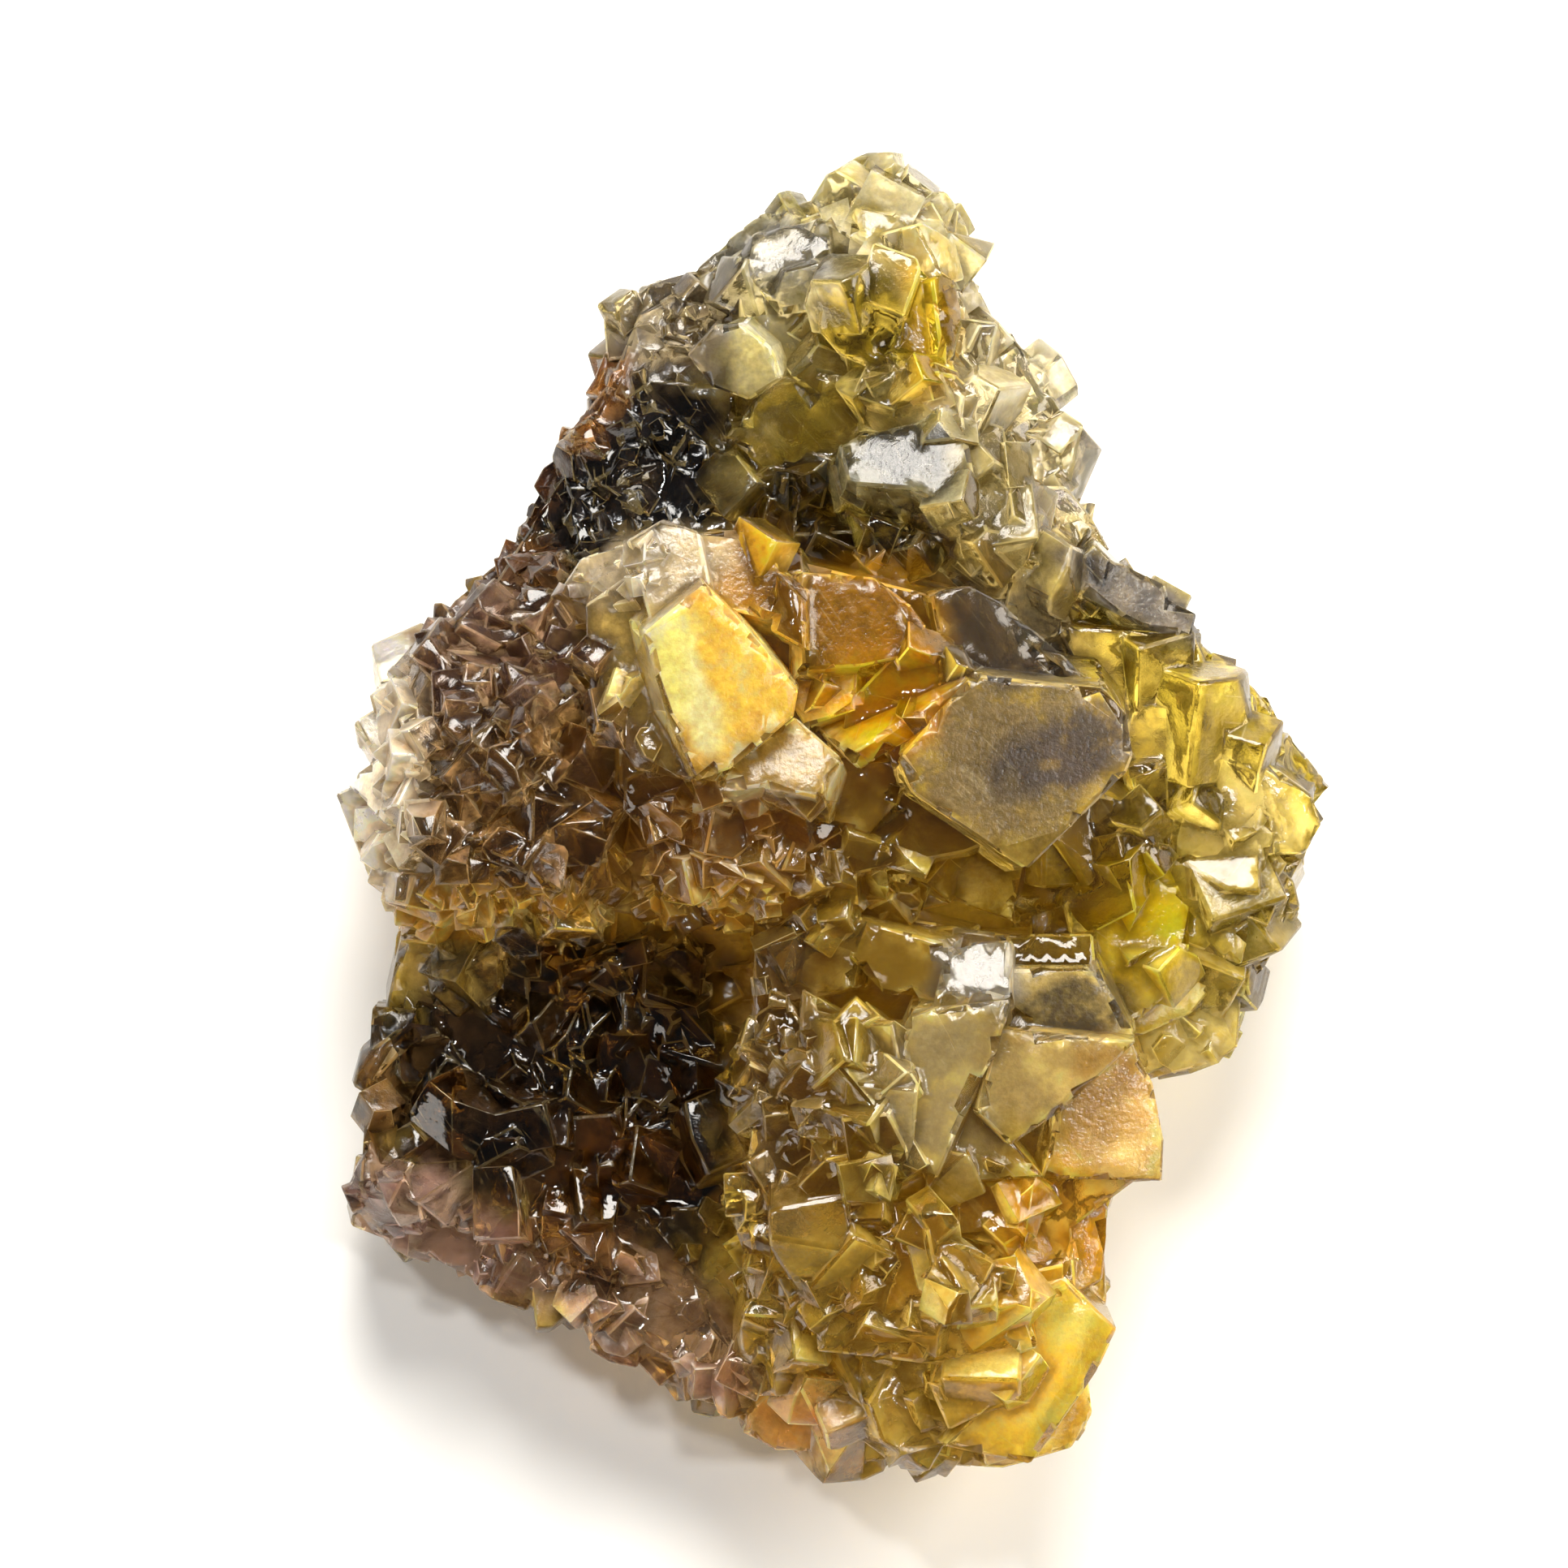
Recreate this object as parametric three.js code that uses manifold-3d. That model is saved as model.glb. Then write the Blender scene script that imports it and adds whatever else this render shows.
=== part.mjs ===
// A hand-sized cluster of intergrown fluorite crystals, all one piece of mineral.
// Units are millimetres and +Z is up. The cluster lies on its broken back, on a flat patch at Z 0,
// with the crystals facing up. +Y is the end with the pale crown and -X the side with the brown druse.
// Most crystals are blocks with one flat face to the sky and four to seven walls square to that face.
import * as THREE from 'three';
import { mergeVertices } from 'three/addons/utils/BufferGeometryUtils.js';
import Module from 'manifold-3d';

const wasm = await Module();
wasm.setup();

// Heights of the storeys of the cluster above the surface that it lies on.
const hollow = 11;
const skirt = 13;
const crown = 17;
const shoulder = 20;
const terrace = 24;
const ridge = 28;
const summit = 32;

// How far the walls of a crystal lean out, as a share of their depth.
const flare = 0.13;

// Small cubes: how much their size varies to either side, how many have a corner knocked off, and the
// least and greatest depth of that chip as a share of the edge.
const cubeSizes = [0.65, 1.35];
const chippedShare = 0.3;
const chipDepths = [0.3, 0.6];

// Repeatable random numbers from 0 to 1.
function dice(seed) {
  let state = seed;
  return () => {
    state = (state + 0x6d2b79f5) | 0;
    let mixed = Math.imul(state ^ (state >>> 15), 1 | state);
    mixed = (mixed + Math.imul(mixed ^ (mixed >>> 7), 61 | mixed)) ^ mixed;
    return ((mixed ^ (mixed >>> 14)) >>> 0) / 4294967296;
  };
}

function between([least, most], random) {
  return least + (most - least) * random();
}

// An angle up to most to either side of none.
function either(most, random) {
  return between([-most, most], random);
}

function toSolid(geometry) {
  const bare = geometry.index ? geometry.toNonIndexed() : geometry.clone();
  bare.deleteAttribute('normal');
  bare.deleteAttribute('uv');
  const merged = mergeVertices(bare, 1e-4);
  return new wasm.Manifold(new wasm.Mesh({
    numProp: 3,
    vertProperties: merged.attributes.position.array,
    triVerts: new Uint32Array(merged.index.array),
  }));
}

function toGeometry(solid) {
  const mesh = solid.getMesh();
  const position = new THREE.BufferAttribute(new Float32Array(mesh.vertProperties), 3);
  const geometry = new THREE.BufferGeometry().setAttribute('position', position);
  geometry.setIndex(new THREE.BufferAttribute(new Uint32Array(mesh.triVerts), 1));
  geometry.computeVertexNormals();
  return geometry;
}

function middleOf(outline) {
  const sum = outline.reduce((total, [x, y]) => [total[0] + x, total[1] + y], [0, 0]);
  return [sum[0] / outline.length, sum[1] / outline.length];
}

// A crystal block. Its face covers outline when seen from above, stands at top over the outline's
// middle, and climbs by slope towards +X and +Y. Its walls run depth deep, nearly square to the face.
function block({ outline, top, slope, depth }) {
  const [middleX, middleY] = middleOf(outline);
  const [climbX, climbY] = slope;
  const normal = new THREE.Vector3(-climbX, -climbY, 1).normalize();
  const turn = new THREE.Quaternion().setFromUnitVectors(new THREE.Vector3(0, 0, 1), normal);
  const back = turn.clone().invert();
  const flat = outline.map(([x, y]) => {
    const [dx, dy] = [x - middleX, y - middleY];
    const point = new THREE.Vector3(dx, dy, climbX * dx + climbY * dy).applyQuaternion(back);
    return new THREE.Vector2(point.x, point.y);
  });
  const geometry = new THREE.ExtrudeGeometry(new THREE.Shape(flat), { depth, bevelEnabled: false });
  geometry.translate(0, 0, -depth);
  const spots = geometry.attributes.position;
  for (let i = 0; i < spots.count; i += 1) {
    const [x, y, z] = [spots.getX(i), spots.getY(i), spots.getZ(i)];
    const spread = z < -depth / 2 ? 1 + (flare * depth) / Math.hypot(x, y) : 1;
    spots.setXYZ(i, x * spread, y * spread, z);
  }
  geometry.applyQuaternion(turn);
  geometry.translate(middleX, middleY, top);
  return toSolid(geometry);
}

// Massive fluorite under the crystals. Its walls lean in from outline down to a smaller foot.
function mass({ outline, top, slope, base, foot }) {
  const [middleX, middleY] = middleOf(outline);
  const points = outline.map(([x, y]) => new THREE.Vector2(x - middleX, y - middleY));
  const geometry = new THREE.ExtrudeGeometry(new THREE.Shape(points), { depth: 1, bevelEnabled: false });
  const spots = geometry.attributes.position;
  for (let i = 0; i < spots.count; i += 1) {
    const [x, y] = [spots.getX(i), spots.getY(i)];
    const isTop = spots.getZ(i) > 0.5;
    const spread = isTop ? 1 : foot;
    const z = isTop ? top + slope[0] * x + slope[1] * y : base;
    spots.setXYZ(i, middleX + x * spread, middleY + y * spread, z);
  }
  return toSolid(geometry);
}

// A small cube, with one corner knocked off along the mineral's octahedral cleavage.
function cube(centre, edge, turn, chip) {
  let solid = toSolid(new THREE.BoxGeometry(edge, edge, edge));
  if (chip > 0) {
    const diagonal = new THREE.Vector3(1, 1, 1).normalize();
    const lean = new THREE.Quaternion().setFromUnitVectors(new THREE.Vector3(0, 0, 1), diagonal);
    const reach = (edge / 2) * Math.sqrt(3) - chip * edge + edge;
    const corner = new THREE.BoxGeometry(edge * 2, edge * 2, edge * 2).applyQuaternion(lean);
    corner.translate(diagonal.x * reach, diagonal.y * reach, diagonal.z * reach);
    solid = solid.subtract(toSolid(corner));
  }
  const place = new THREE.Matrix4().compose(centre, turn, new THREE.Vector3(1, 1, 1));
  return solid.transform(place.elements);
}

// A turn that stands a cube on out, leaning up to lean radians either way.
function anyTurn(out, lean, random) {
  const upright = new THREE.Quaternion().setFromUnitVectors(new THREE.Vector3(0, 0, 1), out);
  const tilt = [either(lean, random), either(lean, random), random() * Math.PI];
  return upright.multiply(new THREE.Quaternion().setFromEuler(new THREE.Euler(...tilt)));
}

function anyChip(random) {
  return random() < chippedShare ? between(chipDepths, random) : 0;
}

// Cubes sprinkled over an ellipsoid, a little sunk in it, where keep says that they may stand.
function druse({ centre, radii, count, edge, seed, keep, lean, sink }) {
  const random = dice(seed);
  const golden = Math.PI * (3 - Math.sqrt(5));
  const made = [];
  for (let i = 0; i < count; i += 1) {
    const z = 1 - (2 * (i + 0.5)) / count;
    const ring = Math.sqrt(1 - z * z);
    const angle = golden * i + between([0, 0.5], random);
    const out = new THREE.Vector3(ring * Math.cos(angle), ring * Math.sin(angle), z);
    const spot = new THREE.Vector3(...centre).add(out.clone().multiply(new THREE.Vector3(...radii)));
    const size = edge * between(cubeSizes, random);
    const turn = anyTurn(out, lean, random);
    const chip = anyChip(random);
    if (keep(spot)) {
      made.push(cube(spot.addScaledVector(out, -sink * size), size, turn, chip));
    }
  }
  return made;
}

// The cluster's outline, seen from above.
const rim = [
  [2.6, 40.8], [5.2, 39], [7.8, 37.2], [8.8, 33.4], [11.2, 28.2], [13.4, 26], [14.8, 22.8],
  [14.4, 20.4], [17.6, 15.6], [22, 12.4], [25.9, 8], [27.8, 3.4], [29.8, -0.4], [28.2, -2.6],
  [28.6, -5.6], [26.4, -8.9], [24.9, -11], [24.7, -14.2], [19.6, -16.2], [20, -21.8], [16.7, -25.4],
  [16.5, -28.2], [17.1, -31], [15.9, -36.6], [12.2, -39.5], [3.6, -39.7], [1.6, -40.8], [-4.8, -37.8],
  [-14.4, -32.1], [-19.4, -29.9], [-29.7, -25.2], [-28.6, -16], [-26.6, -8.4], [-26.2, -5.6],
  [-28.7, -4.4], [-29.8, 1.2], [-29, 8], [-28.2, 11], [-24.4, 14], [-21.4, 14.4], [-18.6, 19.2],
  [-16.6, 24.9], [-14.5, 29.4], [-11.4, 32.9], [-6.6, 35.7], [-4.6, 37.3], [0.4, 39.9],
];

function inward(share) {
  return rim.filter((point, i) => i % 2 === 0).map(([x, y]) => [x * share, y * share]);
}

// Body of the specimen, storey by storey.
const masses = [
  {
    name: 'plate',
    outline: inward(0.96),
    top: 9.5, slope: [0, 0], base: 5.5, foot: 0.97,
  },
  {
    name: 'foot',
    outline: [[0, 30], [8, 24], [12, 13], [20, 3], [17, -8], [13, -20], [9, -32], [-2, -32], [-18, -23],
      [-21, -6], [-20, 6], [-11, 17]],
    top: 8, slope: [0, 0], base: 0, foot: 0.72,
  },
  {
    name: 'crownMass',
    outline: [[1, 38], [6, 36.5], [9, 29], [12, 21], [17, 13.5], [8, 10], [-14, 12], [-16.5, 18],
      [-15, 24], [-12, 31], [-4, 36]],
    top: 15.2, slope: [0.13, -0.05], base: 4, foot: 0.9,
  },
  {
    name: 'ridgeMass',
    outline: [[-24, 12], [-27.5, 5], [-27, -3], [-12, -6], [0, -7], [12, -4], [25, -9], [27, -1], [24, 6],
      [17, 12], [4, 15], [-14, 15]],
    top: 17.6, slope: [-0.05, 0.02], base: 4, foot: 0.92,
  },
  {
    name: 'summitMass',
    outline: [[-13, 13], [-4, 16], [8, 13], [16, 7], [15, 1], [8, -2], [-2, -4], [-9, -3], [-13, 2]],
    top: 25.6, slope: [0, 0.05], base: 12, foot: 1.12,
  },
  {
    name: 'terraceMass',
    outline: [[-5, -9], [4, -6], [16, -8], [18.5, -15], [18.5, -22], [14.5, -25], [15, -32], [11, -38],
      [3, -38], [-4, -34], [-5, -24]],
    top: 19.6, slope: [0, 0.13], base: 4, foot: 0.97,
  },
  {
    name: 'easternMass',
    outline: [[12, 12], [20, 12], [25.5, 7], [27.5, 0], [27, -6], [22, -12], [15, -15], [12, -8],
      [12, 0]],
    top: 15, slope: [-0.22, 0], base: 4, foot: 0.9,
  },
  {
    name: 'hollowFloor',
    outline: [[-27, -7], [-5, -5], [-4, -33], [-17, -28.5], [-28.5, -24.5]],
    top: 9, slope: [0, 0.05], base: 4, foot: 0.92,
  },
];

// Crystals of the crown, the far end of the cluster.
const crownCrystals = [
  {
    name: 'tip',
    outline: [[0, 39.8], [1.4, 40.7], [2.7, 40.9], [4, 40.4], [4.9, 39.2], [2.9, 38.2], [0.8, 37.7]],
    top: crown - 2, slope: [0, -0.5], depth: 6,
  },
  {
    name: 'tipWest',
    outline: [[-1.2, 38.2], [0.2, 39.7], [1.5, 38.2], [1.2, 35.3], [-0.8, 36.6]],
    top: crown - 0.5, slope: [0.5, -0.1], depth: 7,
  },
  {
    name: 'tipPrism',
    outline: [[1.3, 38.4], [2.6, 38.9], [5.2, 35.4], [3.9, 33.7], [0.8, 34]],
    top: crown + 1, slope: [0.05, -0.35], depth: 8,
  },
  {
    name: 'tipEast',
    outline: [[2.9, 38.7], [6.9, 38.5], [7.9, 37.2], [8.9, 33.9], [6.6, 32.8], [4.6, 35.2]],
    top: crown - 1, slope: [-0.35, -0.25], depth: 7,
  },
  {
    name: 'silverShelf',
    outline: [[-4.9, 35.9], [-0.4, 36.9], [-0.2, 34.3], [-4.6, 32.9], [-6.2, 34.3]],
    top: crown - 0.3, slope: [0.08, -0.4], depth: 6,
  },
  {
    name: 'clearNub',
    outline: [[-4.6, 32.3], [-3.1, 33.5], [-1, 34], [0, 32.8], [-1.3, 31], [-3.4, 30.8]],
    top: crown + 0.8, slope: [0.15, 0.2], depth: 5,
  },
  {
    name: 'rustyStep',
    outline: [[-14.2, 30.7], [-11.4, 32.9], [-8.6, 33.7], [-6.2, 32.9], [-6, 30], [-10.3, 28.6],
      [-14, 28.2]],
    top: skirt, slope: [0.3, -0.2], depth: 6,
  },
  {
    name: 'farSlope',
    outline: [[-8.6, 33.7], [-6.6, 35.6], [-4.6, 37.2], [-1.3, 38.1], [-0.6, 36.6], [-5, 35.4],
      [-6, 32.8]],
    top: skirt + 0.5, slope: [0.25, -0.5], depth: 6,
  },
  {
    name: 'lemonNub',
    outline: [[-9, 28.4], [-7.4, 30], [-5.5, 30.3], [-3.9, 28.8], [-3.2, 26.9], [-5.2, 25.6],
      [-7.5, 26.4]],
    top: crown + 0.8, slope: [0.2, 0.15], depth: 6,
  },
  {
    name: 'greyStep',
    outline: [[-6.2, 33], [-4.2, 32.6], [-1.2, 31], [-1.2, 27.5], [-4, 26], [-6.5, 29.5]],
    top: crown - 0.6, slope: [0.1, 0.1], depth: 5,
  },
  {
    name: 'oliveCube',
    outline: [[-0.6, 32.4], [3.7, 32.2], [4.2, 31], [4, 28.2], [3.2, 27], [0.4, 28.2], [-1, 29.8]],
    top: shoulder, slope: [-0.05, 0.3], depth: 8,
  },
  {
    name: 'goldPlate',
    outline: [[1.1, 33.3], [5.9, 33.2], [6.3, 31.4], [7, 26.8], [4.1, 27.8], [4, 32.2]],
    top: shoulder - 0.8, slope: [-0.25, 0.15], depth: 8,
  },
  {
    name: 'plateEdge',
    outline: [[5.9, 33.8], [7.4, 33], [8, 30.4], [7.3, 26.8], [6.8, 26.8], [6.2, 31.4]],
    top: shoulder - 1.2, slope: [-1.1, 0], depth: 6,
  },
  {
    name: 'paleFlank',
    outline: [[7.2, 33.2], [8.7, 33], [11.2, 28.2], [10.4, 26.2], [7.2, 26.4], [7.8, 30.4]],
    top: crown - 2, slope: [-0.6, 0], depth: 7,
  },
  {
    name: 'paleKnob',
    outline: [[9.8, 26.6], [12.9, 27.3], [13.7, 25.7], [13.2, 23.2], [10.6, 23.5], [9.4, 25]],
    top: skirt + 1.5, slope: [-0.4, -0.15], depth: 8,
  },
  {
    name: 'paleSteps',
    outline: [[10.4, 23.6], [13.7, 24.4], [14.9, 22.9], [14.3, 20.3], [11.6, 20.2], [10.2, 21.6]],
    top: skirt + 1.2, slope: [-0.4, 0.1], depth: 8,
  },
  {
    name: 'paleSteps2',
    outline: [[10.1, 22], [12, 22.3], [12.4, 19.5], [10.6, 19]],
    top: crown + 0.6, slope: [-0.25, 0.1], depth: 6,
  },
  {
    name: 'oliveFan',
    outline: [[1.6, 27], [3.7, 27.7], [6.1, 24.7], [4, 23.2], [1.4, 23.6]],
    top: shoulder - 0.6, slope: [0.25, 0.25], depth: 7,
  },
  {
    name: 'oliveRoof',
    outline: [[3.8, 27.9], [7.4, 26.9], [10.4, 24.4], [7.9, 24.2], [5.6, 24.5]],
    top: shoulder - 0.4, slope: [-0.2, 0.45], depth: 7,
  },
  {
    name: 'oliveBench',
    outline: [[-3.6, 26.8], [1.8, 27], [1.8, 23.6], [0, 21.9], [-4, 21], [-6.6, 23.4]],
    top: crown, slope: [0.2, 0.3], depth: 7,
  },
  {
    name: 'oliveShard',
    outline: [[-1, 29], [0.8, 28.2], [1.2, 26.4], [-1, 25.8], [-2.6, 27]],
    top: crown + 1.2, slope: [-0.1, 0.4], depth: 5,
  },
  {
    name: 'ironWall',
    outline: [[-13.5, 27.2], [-6.2, 26.4], [-6, 22.2], [-8.2, 17.8], [-16.6, 17.4], [-17.4, 22.4]],
    top: skirt + 0.2, slope: [0.3, 0.12], depth: 7,
  },
  {
    name: 'ironFoot',
    outline: [[-17, 22], [-11, 20], [-11, 14], [-21.6, 14], [-20.1, 16.2], [-18.6, 19.2]],
    top: skirt - 1.6, slope: [0.3, 0], depth: 5,
  },
  {
    name: 'valleyFloor',
    outline: [[-8.4, 18.6], [-4, 21.6], [0.4, 21], [3.2, 19.4], [3, 15], [-3.4, 15], [-7, 16]],
    top: crown - 1.8, slope: [0.12, 0.3], depth: 6,
  },
  {
    name: 'mirrorFace',
    outline: [[0.3, 22.8], [1.6, 23.4], [7.8, 24.8], [8.5, 20.9], [7.3, 18.7], [4.6, 20.1],
      [0.9, 20.4]],
    top: shoulder + 1.2, slope: [0.05, -0.4], depth: 9,
  },
  {
    name: 'mirrorFlank',
    outline: [[7.7, 24.8], [10.4, 23.9], [11.8, 18.4], [10.7, 16], [7, 18.3], [8.2, 20.9]],
    top: shoulder - 0.4, slope: [-0.35, -0.05], depth: 9,
  },
  {
    name: 'greyWedge',
    outline: [[11.4, 20.4], [14.3, 20.4], [15.9, 18.5], [17, 16.5], [13.6, 15.6], [11, 16.6]],
    top: skirt + 2, slope: [-0.35, -0.1], depth: 8,
  },
  {
    name: 'whiteBlade',
    outline: [[11, 17.2], [15.1, 18.4], [15.8, 17.8], [13.8, 15.9], [11.3, 16.1]],
    top: crown + 0.6, slope: [-0.1, -0.5], depth: 4,
  },
  {
    name: 'violetPoint',
    outline: [[1.7, 18], [6.3, 16.8], [4.8, 13.9], [2.6, 14.4]],
    top: shoulder + 0.8, slope: [-0.2, 0.15], depth: 7,
  },
  {
    name: 'violetLow',
    outline: [[-2.4, 17.4], [1.6, 17.6], [2.8, 14.4], [0, 13.6], [-3, 14.6]],
    top: crown + 0.8, slope: [0.15, 0.2], depth: 6,
  },
  {
    name: 'amberWedge',
    outline: [[3, 19.9], [5, 20.6], [10.7, 16.2], [11, 13.4], [8.4, 13.2], [5.2, 16.2]],
    top: shoulder - 0.8, slope: [-0.05, 0.5], depth: 8,
  },
];

// Crystals of the eastern flank, from the long grey bar round to the pale low corner.
const easternCrystals = [
  {
    name: 'greyBar',
    outline: [[14, 16.2], [17.7, 15.6], [20.2, 14.4], [20.5, 13.5], [22.2, 12.6], [21.8, 11],
      [18.6, 11.9], [14, 14.4]],
    top: crown + 1.2, slope: [-0.2, -0.25], depth: 6,
  },
  {
    name: 'goldUnderBar',
    outline: [[13.8, 14.6], [18.6, 12], [20.8, 11], [14.4, 11.4]],
    top: crown + 0.6, slope: [-0.1, 0.6], depth: 6,
  },
  {
    name: 'goldWest',
    outline: [[11, 15.8], [13.9, 15.4], [14.2, 11.6], [12.2, 10.2], [10.4, 12.8]],
    top: shoulder - 0.6, slope: [0.15, 0.2], depth: 7,
  },
  {
    name: 'brownWindow',
    outline: [[13.6, 11.7], [20.8, 11.2], [21, 7.9], [18.7, 6.2], [15.4, 8.2]],
    top: crown + 0.8, slope: [-0.05, 0.25], depth: 7,
  },
  {
    name: 'longSlope',
    outline: [[20.6, 11.2], [22, 11.3], [25.9, 8], [27.3, 6.2], [24.6, 6], [22.6, 8], [20.8, 7.8]],
    top: skirt + 1.6, slope: [-0.35, -0.15], depth: 8,
  },
  {
    name: 'longSlopeFoot',
    outline: [[24.3, 7], [26.7, 7.4], [27.6, 5.7], [27.6, 3.6], [24.6, 3.6]],
    top: skirt + 0.6, slope: [-0.35, 0.05], depth: 8,
  },
  {
    name: 'prow',
    outline: [[21, 0.2], [23, 2.9], [24.7, 4.9], [26.7, 3.2], [29.3, 1.4], [29.9, -0.4], [28.9, -2.2],
      [20.5, -2.5]],
    top: crown - 0.6, slope: [-0.16, 0.12], depth: 10,
  },
  {
    name: 'ribbedBlock',
    outline: [[21.7, 7.4], [23.9, 7.5], [23.8, 3.8], [22.4, 3], [21.6, 3.2]],
    top: crown + 0.8, slope: [0.05, 0.1], depth: 7,
  },
  {
    name: 'goldShards',
    outline: [[18.1, 3], [20.4, 3.4], [20.6, -2], [18.9, -0.8]],
    top: crown + 1, slope: [-0.25, 0.2], depth: 6,
  },
  {
    name: 'shardNorth',
    outline: [[18.2, 7.2], [21.4, 7.2], [21.8, 3], [19.2, 2.4], [17.8, 4.4]],
    top: crown + 0.4, slope: [0.15, 0.15], depth: 6,
  },
  {
    name: 'sunlitFace',
    outline: [[20.2, -2.9], [26.4, -2], [28.3, -3.9], [28.7, -5.6], [27.6, -7.4], [23.6, -8.4],
      [21.2, -5.6]],
    top: crown - 1.8, slope: [-0.25, 0.08], depth: 9,
  },
  {
    name: 'goldWall',
    outline: [[16, -3.6], [20.3, -2.6], [21.8, -5.6], [21.8, -9.6], [18.6, -12.5], [15.7, -9.1]],
    top: crown + 0.8, slope: [-0.3, 0.2], depth: 9,
  },
  {
    name: 'lowCorner',
    outline: [[21.4, -8], [25.2, -9.6], [24.9, -14.1], [23.7, -15], [19.4, -16.1], [18.2, -12.4]],
    top: skirt, slope: [-0.2, 0.2], depth: 9,
  },
  {
    name: 'rimChip',
    outline: [[23.4, -8], [27.6, -7.3], [26.6, -9.2], [24.9, -10.8]],
    top: skirt - 0.4, slope: [-0.35, 0.15], depth: 7,
  },
  {
    name: 'oliveUnder',
    outline: [[10.4, -2.8], [16, 1.6], [18.3, 0.6], [20.4, -2.6], [15.2, -5], [11, -6.5]],
    top: shoulder - 0.8, slope: [-0.1, 0.3], depth: 8,
  },
  {
    name: 'oliveUnderWest',
    outline: [[4.4, 1.6], [11.6, -2.6], [10.8, -6.3], [7, -5], [3.4, -1.6]],
    top: shoulder + 0.6, slope: [-0.1, 0.4], depth: 8,
  },
];

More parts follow.
